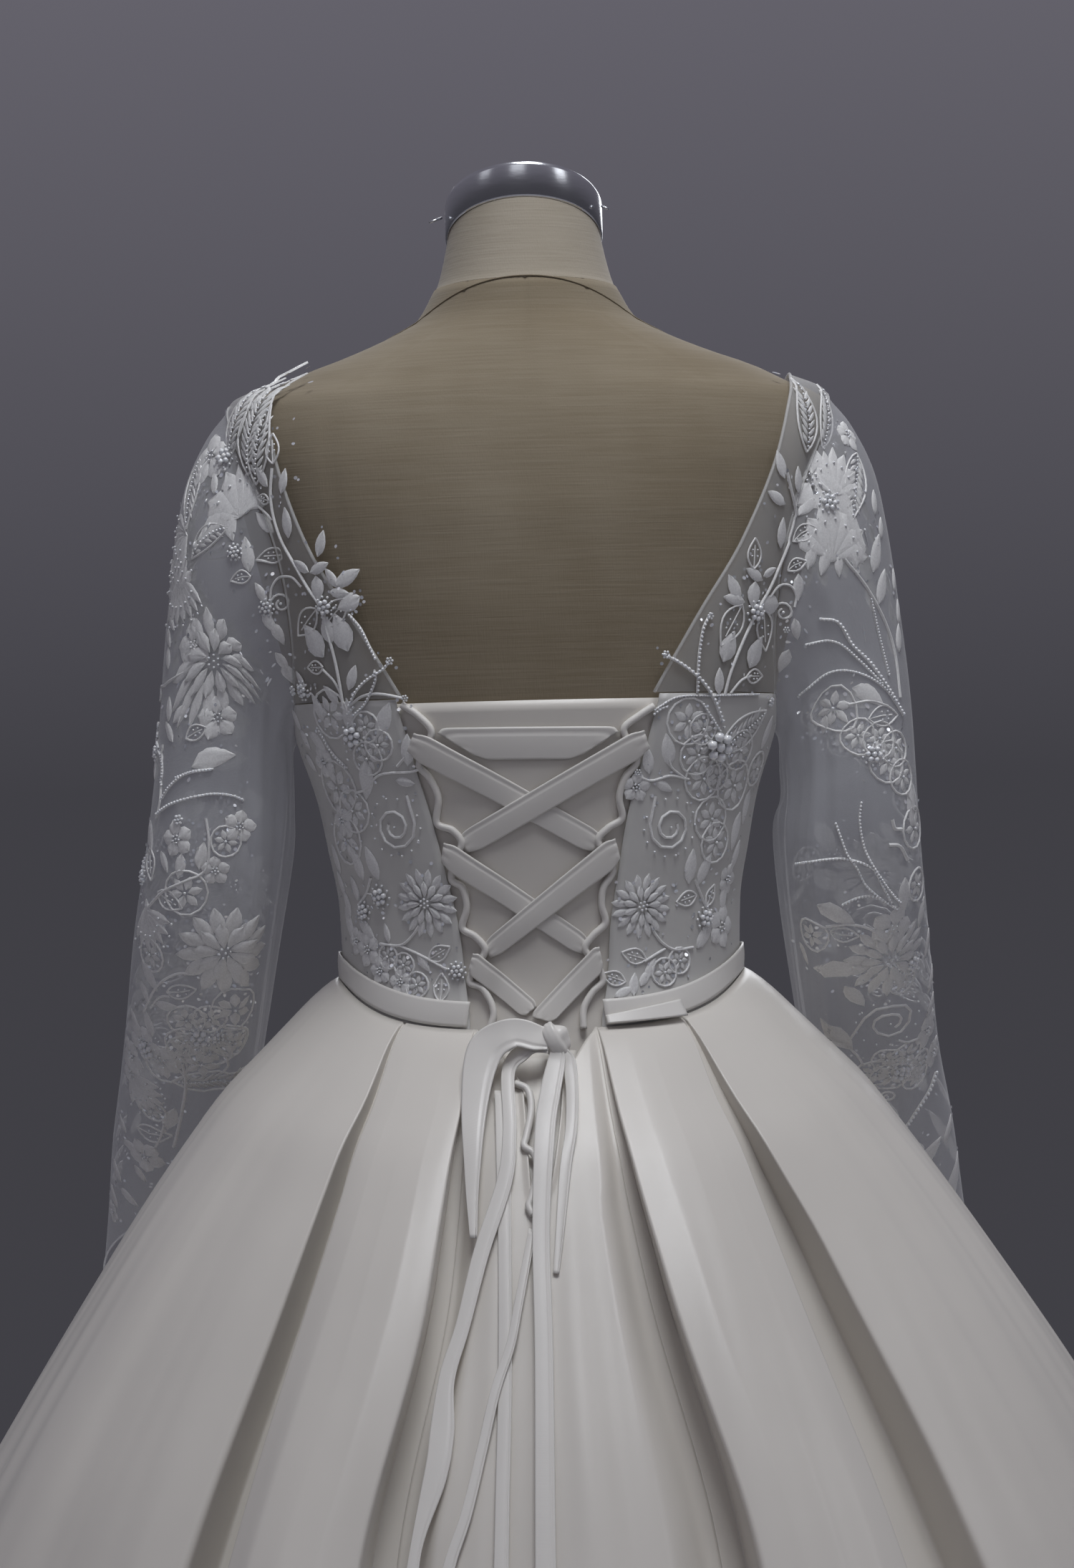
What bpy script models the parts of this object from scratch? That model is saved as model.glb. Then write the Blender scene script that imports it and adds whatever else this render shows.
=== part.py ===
"""A bridal ball gown that laces up the back, worn on a limbless dress form.

Metres, +Z up. The laced back faces -Y, +X is the right-hand side seen from behind, and the origin is on the
floor under the middle of the stand. Every cloth piece is a thin closed wall. The form's skin is one surface,
skin(angle, z), and each close-fitting piece is that surface moved out by its own lift.
"""

import math
from collections import namedtuple

import bmesh
import bpy
from mathutils import Vector

# Driving dimensions, in metres
MM = 0.001
CLOTH = 1.3 * MM             # a wall of lined satin
TULLE = 1.2 * MM             # a wall of tulle and lace
RIBBON = 1.0 * MM            # a wall of lacing ribbon
SEAM = 0.3 * MM              # the gap between two pieces at a seam
BELT_HEIGHT = 14 * MM
LOOP_RADIUS = 1.15 * MM      # a rouleau loop's own radius

# Lift of each layer's middle above the form's skin
LIFT_MODESTY = 1.6 * MM
LIFT_BODICE = 4.0 * MM
LIFT_LOOPS = 4.0 * MM
LIFT_BELT = 6.3 * MM
LIFT_WAIST_FLOOR = 6.1 * MM  # the skirt's pleat floors where they meet the bodice
WAIST_PLEAT = 2.2 * MM       # how far the skirt's pleats stand out at the waist seam

BASE_RADIUS, BASE_HEIGHT = 0.18, 0.012
POLE_RADIUS = 0.016
FORM_BOTTOM = 0.735
NECK_SEAM = 1.418
NECK_TILT = 0.40             # slope of the neck cap, its back edge up

# The form, one row a level: half-width, depth behind and before the axis, and squareness
Section = namedtuple("Section", "z side back front square")
FORM = [
    Section(0.735, 0.128, 0.096, 0.088, 2.0), Section(0.750, 0.150, 0.109, 0.100, 2.0),
    Section(0.800, 0.166, 0.119, 0.109, 2.1), Section(0.860, 0.167, 0.122, 0.111, 2.1),
    Section(0.920, 0.152, 0.113, 0.108, 2.1), Section(0.970, 0.133, 0.099, 0.102, 2.0),
    Section(1.000, 0.120, 0.091, 0.097, 2.0), Section(1.035, 0.108, 0.087, 0.092, 2.0),
    Section(1.070, 0.109, 0.090, 0.095, 2.0), Section(1.106, 0.115, 0.094, 0.102, 2.1),
    Section(1.131, 0.120, 0.098, 0.109, 2.1), Section(1.166, 0.131, 0.103, 0.118, 2.2),
    Section(1.200, 0.139, 0.106, 0.120, 2.3), Section(1.240, 0.149, 0.108, 0.114, 2.3),
    Section(1.280, 0.159, 0.107, 0.102, 2.3), Section(1.310, 0.166, 0.103, 0.090, 2.3),
    Section(1.335, 0.170, 0.097, 0.079, 2.2), Section(1.3535, 0.166, 0.090, 0.071, 2.1),
    Section(1.362, 0.148, 0.086, 0.066, 2.0), Section(1.371, 0.130, 0.081, 0.061, 2.0),
    Section(1.380, 0.105, 0.076, 0.057, 2.0), Section(1.391, 0.079, 0.069, 0.053, 2.0),
    Section(1.400, 0.063, 0.064, 0.050, 2.0), Section(1.418, 0.052, 0.058, 0.046, 2.0),
]
FORM_LEVELS = [0.735, 0.75, 0.785, 0.83, 0.875, 0.92, 0.955, 0.98, 1.0, 1.017, 1.035, 1.053, 1.073, 1.095,
               1.118, 1.143, 1.166, 1.19, 1.216, 1.245, 1.275, 1.303, 1.327, 1.343, 1.3535, 1.362, 1.371,
               1.38, 1.391, 1.4, 1.418]
FORM_COLUMNS = 36
BUST_ANGLE, BUST_SPREAD, BUST_Z, BUST_HEIGHT, BUST_PROUD = 143.0, 24.0, 1.205, 0.05, 0.013

# The corset opening, one row a height: x of its left and right edge
Opening = namedtuple("Opening", "z left right")
OPENING = [
    Opening(0.930, -0.0340, 0.0265), Opening(1.008, -0.0355, 0.0285), Opening(1.031, -0.0371, 0.0318),
    Opening(1.060, -0.0398, 0.0338), Opening(1.089, -0.0459, 0.0386), Opening(1.119, -0.0526, 0.0440),
    Opening(1.152, -0.0619, 0.0535), Opening(1.184, -0.0706, 0.0630),
]
LINING_TOP = 1.186           # where the lining stops and sheer tulle begins, across the back

# The neckline, one row a height: half-width, and how far the opening's middle lies off the axis
Neckline = namedtuple("Neckline", "z half middle")
NECK_BACK = [
    Neckline(1.1863, 0.0668, -0.0038), Neckline(1.2275, 0.0910, -0.0036), Neckline(1.269, 0.1160, -0.0030),
    Neckline(1.315, 0.1345, -0.0012), Neckline(1.345, 0.1420, -0.0003), Neckline(1.3625, 0.1462, 0.0),
]
NECK_FRONT = [
    Neckline(1.2255, 0.0860, 0.0), Neckline(1.250, 0.1040, 0.0), Neckline(1.290, 0.1250, 0.0),
    Neckline(1.335, 0.1395, 0.0), Neckline(1.3625, 0.1462, 0.0),
]
SWEETHEART_DIP = 1.168       # the front edge at the middle

# The armhole, an oval seen from the side
ARM_Y, ARM_Z, ARM_DEPTH, ARM_HEIGHT = 0.003, 1.2595, 0.063, 0.0935
ARM_BACK_FOOT = 38.2         # oval angle from the bottom to where the lining's top edge meets the armhole
YOKE_TURNS = [-141.8, -125, -108, -92, -77, -62, -48, -35, -23, -11, 0, 11, 23, 36, 52, 71, 91, 110, 129]
ARM_FRONT_FOOT = 129.0       # oval angle from the top where the front yoke ends on the bodice

# A sleeve, one row a ring: its outer and inner points in x and z, then y, half-depth, and its share of the tube
Ring = namedtuple("Ring", "x_out z_out x_in z_in y half share")
SLEEVE_CAP = [
    Ring(0.1755, 1.347, 0.1368, 1.1640, 0.0030, 0.0600, 0.45),
    Ring(0.1865, 1.333, 0.1376, 1.1615, 0.0035, 0.0560, 0.80),
    Ring(0.1955, 1.311, 0.1382, 1.1580, 0.0040, 0.0520, 1.0),
    Ring(0.2030, 1.275, 0.1386, 1.1520, 0.0050, 0.0480, 1.0),
    Ring(0.2090, 1.228, 0.1388, 1.1430, 0.0060, 0.0440, 1.0),
    Ring(0.2140, 1.175, 0.1390, 1.1270, 0.0065, 0.0420, 1.0),
]
Reach = namedtuple("Reach", "z x y")
SLEEVE_LEFT = [
    Reach(1.110, 0.1815, 0.0075), Reach(1.060, 0.1910, 0.0220), Reach(1.012, 0.2010, 0.0600),
    Reach(0.968, 0.2125, 0.1110), Reach(0.926, 0.2225, 0.1520), Reach(0.884, 0.2305, 0.1890),
    Reach(0.836, 0.2403, 0.2295),
]
SLEEVE_RIGHT = [
    Reach(1.110, 0.1765, 0.0085), Reach(1.060, 0.1815, 0.0320), Reach(1.012, 0.1900, 0.0840),
    Reach(0.968, 0.1995, 0.1360), Reach(0.926, 0.2095, 0.1730), Reach(0.884, 0.2180, 0.2060),
    Reach(0.836, 0.2278, 0.2420),
]
SLEEVE_RADIUS = 0.0410
SLEEVE_AROUND = 18
TULLE_FOLD = 0.0022          # soft lengthwise folds on the sleeve's inner back

# The skirt's flare, one row a drop below the waist seam
Flare = namedtuple("Flare", "drop out valley recess crown")
FLARE = [
    Flare(0.000, 0.000, 0.0022, 0.0016, 0.0003), Flare(0.0115, 0.014, 0.0055, 0.0040, 0.0006),
    Flare(0.0265, 0.030, 0.0095, 0.0070, 0.0012), Flare(0.0405, 0.045, 0.0140, 0.0100, 0.0020),
    Flare(0.0615, 0.067, 0.0210, 0.0140, 0.0030), Flare(0.0855, 0.087, 0.0290, 0.0180, 0.0045),
    Flare(0.1125, 0.108, 0.0360, 0.0220, 0.0060), Flare(0.1545, 0.138, 0.0440, 0.0260, 0.0080),
    Flare(0.2265, 0.186, 0.0530, 0.0300, 0.0100), Flare(0.3300, 0.247, 0.0610, 0.0330, 0.0120),
    Flare(0.5300, 0.365, 0.0690, 0.0360, 0.0150), Flare(0.7300, 0.473, 0.0740, 0.0380, 0.0180),
    Flare(1.0400, 0.632, 0.0800, 0.0400, 0.0220),
]
SKIRT_ROWS = [0.0, 0.02, 0.05, 0.09, 0.15, 0.23, 0.36, 0.55, 0.78, 1.0]

# The skirt's pleat valleys, one row each: the angles of the two folds at five drops
Valley = namedtuple("Valley", "name waist high middle low hem")
VALLEY_DROPS = [0.0, 0.045, 0.12, 0.25, 1.0]
VALLEYS = [
    Valley("back_left", (-17.9, -16.7), (-15.6, -14.3), (-15.2, -13.6), (-18.0, -16.2), (-18.5, -16.5)),
    Valley("back_right", (13.0, 14.2), (12.2, 13.6), (13.2, 15.0), (16.6, 18.6), (17.0, 19.2)),
    Valley("hip_left", (-39.4, -38.0), (-36.2, -33.2), (-35.6, -31.2), (-36.3, -31.2), (-37.0, -31.0)),
    Valley("hip_right", (38.0, 39.4), (33.4, 38.2), (32.2, 40.6), (32.9, 42.6), (33.0, 43.5)),
    Valley("side_left", (-92.7, -91.3), (-93.2, -90.8), (-94.0, -90.0), (-94.6, -89.4), (-95.0, -89.0)),
    Valley("side_right", (91.3, 92.7), (90.8, 93.2), (90.0, 94.0), (89.4, 94.6), (89.0, 95.0)),
    Valley("hip_front_left", (-141.7, -140.3), (-142.2, -139.8), (-143.0, -139.0), (-143.6, -138.4),
           (-144.0, -138.0)),
    Valley("hip_front_right", (140.3, 141.7), (139.8, 142.2), (139.0, 143.0), (138.4, 143.6), (138.0, 144.0)),
    Valley("front_left", (-164.7, -163.3), (-165.0, -163.0), (-165.4, -162.6), (-165.8, -162.2),
           (-166.0, -162.0)),
    Valley("front_right", (163.3, 164.7), (163.0, 165.0), (162.6, 165.4), (162.2, 165.8), (162.0, 166.0)),
]

# The skirt's panels, one row each: the valleys that bound it, cells across its crown, and how round it is
Panel = namedtuple("Panel", "name start end crown round")
PANELS = [
    Panel("skirt_back_pleat_left", "hip_left", "back_left", 4, 1.0),
    Panel("skirt_back_pleat_right", "back_right", "hip_right", 4, 1.0),
    Panel("skirt_side_back_left", "side_left", "hip_left", 8, 1.5),
    Panel("skirt_side_back_right", "hip_right", "side_right", 8, 1.5),
    Panel("skirt_side_front_left", "hip_front_left", "side_left", 7, 1.5),
    Panel("skirt_side_front_right", "side_right", "hip_front_right", 7, 1.5),
    Panel("skirt_front_pleat_left", "front_left", "hip_front_left", 4, 1.0),
    Panel("skirt_front_pleat_right", "hip_front_right", "front_right", 4, 1.0),
    Panel("skirt_front", "front_right", "front_left", 6, 1.2),
]

# The skirt's back opening, one row a height: the angle of its left edge and its width
Placket = namedtuple("Placket", "z left gap")
PLACKET = [
    Placket(0.500, -1.10, 0.0005), Placket(0.905, -1.95, 0.0005), Placket(0.916, -2.05, 0.0019),
    Placket(0.929, -2.50, 0.0105), Placket(0.958, -3.40, 0.0176), Placket(0.979, -4.50, 0.0213),
    Placket(0.990, -6.60, 0.0265), Placket(1.006, -11.1, 0.0405), Placket(1.012, -16.0, 0.0574),
]
PLACKET_TOP = [(0.0, 0.0), (0.42, 0.0050), (0.75, 0.0150), (1.0, 0.0270)]   # drop below the waist, across a panel

# The lacing ribbons: the two corners of each end in x and z, then the lift at the start, the middle and the end
Crossing = namedtuple("Crossing", "name start_up start_low end_up end_low lifts")
LACING = [
    Crossing("lace_top", (-0.0500, 1.1699), (-0.0262, 1.1523), (0.0420, 1.1685), (0.0176, 1.1515),
             (3.2, 3.2, 3.2, 3.2, 3.2)),
    Crossing("lace_cross_1_under", (-0.0567, 1.1665), (-0.0619, 1.1531), (0.0300, 1.1136), (0.0230, 1.1024),
             (6.6, 6.1, 3.2, 3.2, 3.2)),
    Crossing("lace_cross_1_over", (0.0497, 1.1653), (0.0535, 1.1517), (-0.0385, 1.1147), (-0.0312, 1.1034),
             (6.6, 6.1, 4.8, 4.2, 3.2)),
    Crossing("lace_cross_2_under", (-0.0440, 1.1071), (-0.0465, 1.0928), (0.0225, 1.0573), (0.0165, 1.0472),
             (6.6, 6.1, 3.2, 3.2, 3.2)),
    Crossing("lace_cross_2_over", (0.0349, 1.1073), (0.0386, 1.0920), (-0.0275, 1.0557), (-0.0215, 1.0463),
             (6.6, 6.1, 4.8, 4.2, 3.2)),
    Crossing("lace_cross_3_left", (-0.0326, 1.0475), (-0.0363, 1.0346), (-0.0036, 1.0200), (-0.0120, 1.0125),
             (6.6, 6.1, 3.6, 3.2, 3.2)),
    Crossing("lace_cross_3_right", (0.0275, 1.0495), (0.0305, 1.0344), (-0.0050, 1.0140), (0.0070, 1.0095),
             (6.6, 6.1, 5.0, 4.8, 4.8)),
]

# The rouleau loops down each edge of the opening, as x and z along one cord of satin
LOOPS_LEFT = [
    (-0.0706, 1.1832), (-0.0625, 1.1775), (-0.0552, 1.1685), (-0.0590, 1.1585), (-0.0620, 1.1504),
    (-0.0567, 1.1435), (-0.0522, 1.1325), (-0.0533, 1.1189), (-0.0452, 1.1147), (-0.0406, 1.1077),
    (-0.0443, 1.0983), (-0.0462, 1.0880), (-0.0406, 1.0832), (-0.0385, 1.0722), (-0.0411, 1.0613),
    (-0.0344, 1.0564), (-0.0294, 1.0488), (-0.0348, 1.0393), (-0.0378, 1.0309), (-0.0310, 1.0270),
    (-0.0258, 1.0148), (-0.0285, 1.0035),
]
LOOPS_RIGHT = [
    (0.0628, 1.1793), (0.0546, 1.1740), (0.0467, 1.1674), (0.0495, 1.1586), (0.0529, 1.1497),
    (0.0465, 1.1410), (0.0432, 1.1302), (0.0444, 1.1193), (0.0371, 1.1141), (0.0315, 1.1074),
    (0.0360, 1.0978), (0.0388, 1.0902), (0.0336, 1.0814), (0.0325, 1.0719), (0.0342, 1.0623),
    (0.0276, 1.0556), (0.0233, 1.0483), (0.0293, 1.0392), (0.0322, 1.0303), (0.0268, 1.0243),
    (0.0218, 1.0150), (0.0215, 1.0042),
]
PLACKET_LOOPS = [
    (-0.0150, 0.9790), (-0.0085, 0.9755), (-0.0070, 0.9660), (-0.0100, 0.9530), (-0.0112, 0.9480),
    (-0.0060, 0.9440), (-0.0048, 0.9350), (-0.0080, 0.9235), (-0.0098, 0.9190), (-0.0075, 0.9145),
]

# The hanging ribbons, one list of rows each: x, z, lift above the skirt and width
Stretch = namedtuple("Stretch", "x z lift width")
KNOT_X, KNOT_Z, KNOT_SIZE = 0.0085, 1.0010, (0.0085, 0.0068, 0.0098)
STRANDS = {
    "lace_bow_band": [
        Stretch(-0.0009, 1.0015, 13.0, 11), Stretch(-0.0139, 1.0055, 14.0, 15),
        Stretch(-0.0268, 0.9960, 12.0, 16), Stretch(-0.0345, 0.9700, 8.6, 13),
        Stretch(-0.0387, 0.9336, 5.6, 7.6), Stretch(-0.0397, 0.9040, 3.9, 3.6),
    ],
    "lace_tail_left": [
        Stretch(-0.0100, 0.9950, 9.5, 8), Stretch(-0.0176, 0.9845, 6.0, 6.6), Stretch(-0.0184, 0.9560, 4.2, 7),
        Stretch(-0.0221, 0.9314, 3.7, 8), Stretch(-0.0358, 0.8968, 3.8, 8.3), Stretch(-0.0466, 0.8627, 3.6, 7.6),
        Stretch(-0.0556, 0.8385, 3.4, 8.5), Stretch(-0.0588, 0.8129, 3.0, 12.9),
        Stretch(-0.0623, 0.7948, 3.0, 12), Stretch(-0.0735, 0.7592, 3.0, 5.9), Stretch(-0.0776, 0.7200, 3.0, 9),
        Stretch(-0.0760, 0.6700, 3.0, 13),
    ],
    "lace_fold_left": [
        Stretch(-0.0216, 0.9753, 3.2, 7.7), Stretch(-0.0226, 0.9448, 2.0, 7.4), Stretch(-0.0236, 0.8850, 2.0, 7.1),
        Stretch(-0.0250, 0.8308, 2.0, 7.3), Stretch(-0.0275, 0.7770, 2.0, 7.4), Stretch(-0.0299, 0.7072, 2.0, 8.6),
        Stretch(-0.0305, 0.6500, 2.0, 10),
    ],
    "lace_fold_middle": [
        Stretch(0.0060, 0.9895, 9.0, 8.5), Stretch(0.0029, 0.9744, 8.0, 10), Stretch(-0.0002, 0.9547, 6.4, 10.3),
        Stretch(-0.0035, 0.9060, 4.6, 9.2), Stretch(-0.0035, 0.8493, 4.2, 9.8), Stretch(-0.0051, 0.7593, 3.6, 10.7),
        Stretch(-0.0066, 0.6500, 3.2, 12.5),
    ],
    "lace_fold_right": [
        Stretch(0.0125, 0.9885, 7.2, 6.5), Stretch(0.0140, 0.9738, 5.0, 6), Stretch(0.0136, 0.9560, 3.0, 6),
        Stretch(0.0105, 0.9383, 2.4, 6), Stretch(0.0070, 0.9090, 2.0, 4.6), Stretch(0.0040, 0.8863, 2.0, 3),
    ],
    "lace_tail_middle": [
        Stretch(-0.0080, 0.9077, 2.2, 4), Stretch(-0.0166, 0.8718, 3.4, 4.5), Stretch(-0.0213, 0.8532, 3.8, 4.6),
        Stretch(-0.0296, 0.8329, 3.6, 5), Stretch(-0.0371, 0.8074, 2.6, 5.2), Stretch(-0.0465, 0.7769, 2.0, 5.6),
        Stretch(-0.0557, 0.7540, 2.0, 6), Stretch(-0.0600, 0.7300, 2.0, 6.4), Stretch(-0.0620, 0.6900, 2.0, 7),
    ],
}


def clear_scene():
    for old in list(bpy.data.objects):
        bpy.data.objects.remove(old, do_unlink=True)


def finish(name, colour, roughness, metallic=0.0):
    """A material with one colour, roughness and metallic value."""
    material = bpy.data.materials.new(name)
    material.use_nodes = True
    shader = material.node_tree.nodes["Principled BSDF"]
    shader.inputs["Base Color"].default_value = (*colour, 1.0)
    shader.inputs["Roughness"].default_value = roughness
    shader.inputs["Metallic"].default_value = metallic
    material.diffuse_color = (*colour, 1.0)
    return material


def curve_through(rows, key, column):
    """A smooth function through a table's rows that never swings past them (a monotone cubic)."""
    pairs = sorted((getattr(row, key), getattr(row, column)) for row in rows)
    return smooth_line(pairs)


def smooth_line(pairs):
    xs, ys = [p[0] for p in pairs], [p[1] for p in pairs]
    rises = [(ys[i + 1] - ys[i]) / (xs[i + 1] - xs[i]) for i in range(len(xs) - 1)]
    slopes = [rises[0]] + [0.0] * (len(xs) - 2) + [rises[-1]]
    for i in range(1, len(xs) - 1):
        before, after = rises[i - 1], rises[i]
        if before * after > 0:
            slopes[i] = 2 * before * after / (before + after)

    def value(x):
        if x <= xs[0]:
            return ys[0]
        if x >= xs[-1]:
            return ys[-1]
        i = max(k for k in range(len(xs) - 1) if xs[k] <= x)
        step = xs[i + 1] - xs[i]
        t = (x - xs[i]) / step
        start, end = ys[i], ys[i + 1]
        into, out = slopes[i] * step, slopes[i + 1] * step
        return (start * (1 + 2 * t) * (1 - t) ** 2 + into * t * (1 - t) ** 2
                + end * t * t * (3 - 2 * t) + out * t * t * (t - 1))

    return value


def mix(a, b, t):
    return a + (b - a) * t


def power(value, exponent):
    return math.copysign(abs(value) ** exponent, value)


form_side = curve_through(FORM, "z", "side")
form_back = curve_through(FORM, "z", "back")
form_front = curve_through(FORM, "z", "front")
form_square = curve_through(FORM, "z", "square")


def skin(angle, z):
    """The form's skin at an angle from the centre back, turning towards +X, and a height."""
    turn = math.radians(angle)
    bend = 2 / form_square(z)
    depth = form_back(z) if math.cos(turn) > 0 else form_front(z)
    x = form_side(z) * power(math.sin(turn), bend)
    y = -depth * power(math.cos(turn), bend)
    folded = abs((angle + 180) % 360 - 180)
    bump = math.exp(-((folded - BUST_ANGLE) / BUST_SPREAD) ** 2 - ((z - BUST_Z) / BUST_HEIGHT) ** 2)
    return Vector((x + BUST_PROUD * bump * 0.4 * math.sin(turn), y + BUST_PROUD * bump, z))


def outward(angle, z):
    """The skin's outward direction."""
    around = skin(angle + 1, z) - skin(angle - 1, z)
    low, high = max(FORM_BOTTOM, z - 0.004), min(NECK_SEAM, z + 0.004)
    up = skin(angle, high) - skin(angle, low)
    return around.cross(up).normalized()


def facet(angle, z):
    """The point of the form's own faceted skin at this angle and height, so that layers follow its facets."""
    step = 360 / FORM_COLUMNS
    column = math.floor(angle / step)
    across = angle / step - column
    row = max(k for k in range(len(FORM_LEVELS) - 1) if FORM_LEVELS[k] <= max(z, FORM_LEVELS[0]))
    low, high = FORM_LEVELS[row], FORM_LEVELS[row + 1]
    rise = (min(max(z, low), high) - low) / (high - low)
    left, right = column * step, (column + 1) * step
    below = skin(left, low).lerp(skin(right, low), across)
    above = skin(left, high).lerp(skin(right, high), across)
    return below.lerp(above, rise)


def over(angle, z, lift):
    """A point that lies lift above the form's skin."""
    return facet(angle, z) + outward(angle, z) * lift


def angle_at(x, z, front=False):
    """The angle at which the skin has this x."""
    share = min(1.0, abs(x) / form_side(z))
    turn = math.degrees(math.asin(share ** (form_square(z) / 2)))
    return math.copysign(180 - turn if front else turn, x)


def angle_at_depth(y, z, side):
    """The angle at which the skin has this y, on the side of +X (1) or -X (-1)."""
    depth = form_back(z) if y < 0 else form_front(z)
    turn = math.degrees(math.acos(min(1.0, abs(y) / depth) ** (form_square(z) / 2)))
    return side * (turn if y < 0 else 180 - turn)


def add(name, mesh, material, smooth=False):
    data = bpy.data.meshes.new(name)
    bmesh.ops.recalc_face_normals(mesh, faces=mesh.faces)
    mesh.to_mesh(data)
    mesh.free()
    data.materials.append(material)
    if smooth:
        data.shade_smooth()
    thing = bpy.data.objects.new(name, data)
    bpy.context.scene.collection.objects.link(thing)
    return thing


def wall(name, across, down, place, thickness, material, ring=False):
    """A cloth wall: a grid whose points place(column, row) puts, thickened both ways from its middle."""
    mesh = bmesh.new()
    bmesh.ops.create_grid(mesh, x_segments=across, y_segments=down, size=1.0)
    for vertex in mesh.verts:
        column = round((vertex.co.x + 1) / 2 * across)
        row = round((1 - vertex.co.y) / 2 * down)
        vertex.co = place(column, row)
    if ring:
        bmesh.ops.remove_doubles(mesh, verts=mesh.verts, dist=1e-6)
    thing = add(name, mesh, material, smooth=True)
    solid = thing.modifiers.new("wall", "SOLIDIFY")
    solid.thickness = thickness
    solid.offset = 0.0
    solid.use_even_offset = True
    solid.use_quality_normals = True
    return thing


def drum(name, rings, material, around):
    """A closed turned or oval body: rings of points bridged from the lowest to the highest, and two caps."""
    mesh = bmesh.new()
    loops = [[mesh.verts.new(point(k)) for k in range(around)] for point in rings]
    for below, above in zip(loops, loops[1:]):
        for k in range(around):
            nxt = (k + 1) % around
            mesh.faces.new((below[k], below[nxt], above[nxt], above[k]))
    mesh.faces.new(list(reversed(loops[0])))
    mesh.faces.new(loops[-1])
    return add(name, mesh, material, smooth=True)


def rouleau(name, points, radius, material):
    """A thin satin cord along the points."""
    data = bpy.data.curves.new(name, "CURVE")
    data.dimensions = "3D"
    data.bevel_depth = radius
    data.bevel_resolution = 1
    data.use_fill_caps = True
    spline = data.splines.new("POLY")
    spline.points.add(len(points) - 1)
    for slot, point in zip(spline.points, points):
        slot.co = (*point, 1.0)
    data.materials.append(material)
    thing = bpy.data.objects.new(name, data)
    bpy.context.scene.collection.objects.link(thing)
    return thing


def rounded(points, per_span):
    """Points along a smooth line (Catmull-Rom) through the given ones."""
    line = [Vector(p) for p in points]
    ends = [2 * line[0] - line[1]] + line + [2 * line[-1] - line[-2]]
    out = []
    for i in range(1, len(ends) - 2):
        a, b, c, d = ends[i - 1:i + 3]
        for k in range(per_span):
            t = k / per_span
            out.append(0.5 * (2 * b + (c - a) * t + (2 * a - 5 * b + 4 * c - d) * t * t
                              + (3 * b - a - 3 * c + d) * t ** 3))
    out.append(line[-1])
    return out


# The stand and the form

def build_form(linen, chrome, iron):
    def disc(z, radius, around):
        return lambda k: Vector((radius * math.cos(2 * math.pi * k / around),
                                 radius * math.sin(2 * math.pi * k / around), z))

    edge = 0.003
    base = [disc(0.0, BASE_RADIUS, 40), disc(BASE_HEIGHT - edge, BASE_RADIUS, 40),
            disc(BASE_HEIGHT, BASE_RADIUS - edge, 40)]
    drum("form_base", base, iron, 40)
    pole = [disc(BASE_HEIGHT + SEAM, POLE_RADIUS, 16), disc(FORM_BOTTOM - SEAM, POLE_RADIUS, 16)]
    drum("form_pole", pole, iron, 16)

    step = 360 / FORM_COLUMNS
    drum("form_torso", [lambda k, z=z: skin(k * step, z) for z in FORM_LEVELS], linen, FORM_COLUMNS)

    def oval(side, back, front, z_of):
        def point(k):
            turn = 2 * math.pi * k / 24
            x, y = side * math.sin(turn), -math.cos(turn) * (back if math.cos(turn) > 0 else front)
            return Vector((x, y, z_of(y)))
        return point

    seam_top = form_side(NECK_SEAM)
    neck = [
        oval(seam_top - 0.0015, 0.0560, 0.0440, lambda y: NECK_SEAM + SEAM),
        oval(0.0480, 0.0525, 0.0430, lambda y: 1.4285 - 0.10 * y),
        oval(0.0448, 0.0490, 0.0430, lambda y: 1.4375 - 0.25 * y),
        oval(0.0432, 0.0440, 0.0430, lambda y: 1.4465 - NECK_TILT * y),
    ]
    drum("form_neck", neck, linen, 24)

    def ring(radius, height):
        return oval(radius, radius, radius, lambda y: 1.4468 + height - NECK_TILT * y)

    cap = [ring(0.0440, 0.0003), ring(0.0444, 0.003), ring(0.0444, 0.0175), ring(0.0430, 0.0195),
           ring(0.0385, 0.0205), ring(0.0200, 0.0212)]
    drum("form_neck_cap", cap, chrome, 24)


# The bodice

opening_left = curve_through(OPENING, "z", "left")
opening_right = curve_through(OPENING, "z", "right")


def opening_angle(side, z, beyond=0.0):
    """The angle of the corset opening's edge, or of a line that lies beyond it, towards the side seam."""
    x = opening_right(z) + beyond if side > 0 else opening_left(z) - beyond
    return angle_at(x, z)


def belt_top(angle):
    """The belt's upper edge: level at the front, dipping to the opening at the back."""
    around = math.sin(math.radians(angle)) ** 4
    lowest = 1.0195 if math.cos(math.radians(angle)) > 0 else 1.0320
    return lowest + (1.0457 - lowest) * around


def waist_seam(angle):
    return belt_top(angle) - BELT_HEIGHT


def arm_oval(turn, grow=0.0):
    """y and z on the armhole's oval, turn degrees from its top towards the front."""
    y = ARM_Y + (ARM_DEPTH + grow) * math.sin(math.radians(turn))
    z = ARM_Z + (ARM_HEIGHT + grow) * math.cos(math.radians(turn))
    return y, z


def arm_low(y):
    """Height of the bodice's edge under the arm at this y, a little outside the armhole's oval."""
    ease = 0.8 * MM
    reach = min(1.0, abs(y - ARM_Y) / (ARM_DEPTH + ease))
    return ARM_Z - (ARM_HEIGHT + ease) * math.sqrt(1 - reach * reach)


FRONT_FOOT_Y, FRONT_FOOT_Z = arm_oval(ARM_FRONT_FOOT)
FRONT_FOOT_ANGLE = angle_at_depth(FRONT_FOOT_Y, FRONT_FOOT_Z, 1)
FRONT_PEAK_ANGLE = angle_at(NECK_FRONT[0].half, NECK_FRONT[0].z, front=True)
sweetheart = smooth_line([
    (FRONT_PEAK_ANGLE, NECK_FRONT[0].z), (168.0, 1.196), (180.0, SWEETHEART_DIP),
])


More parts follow.
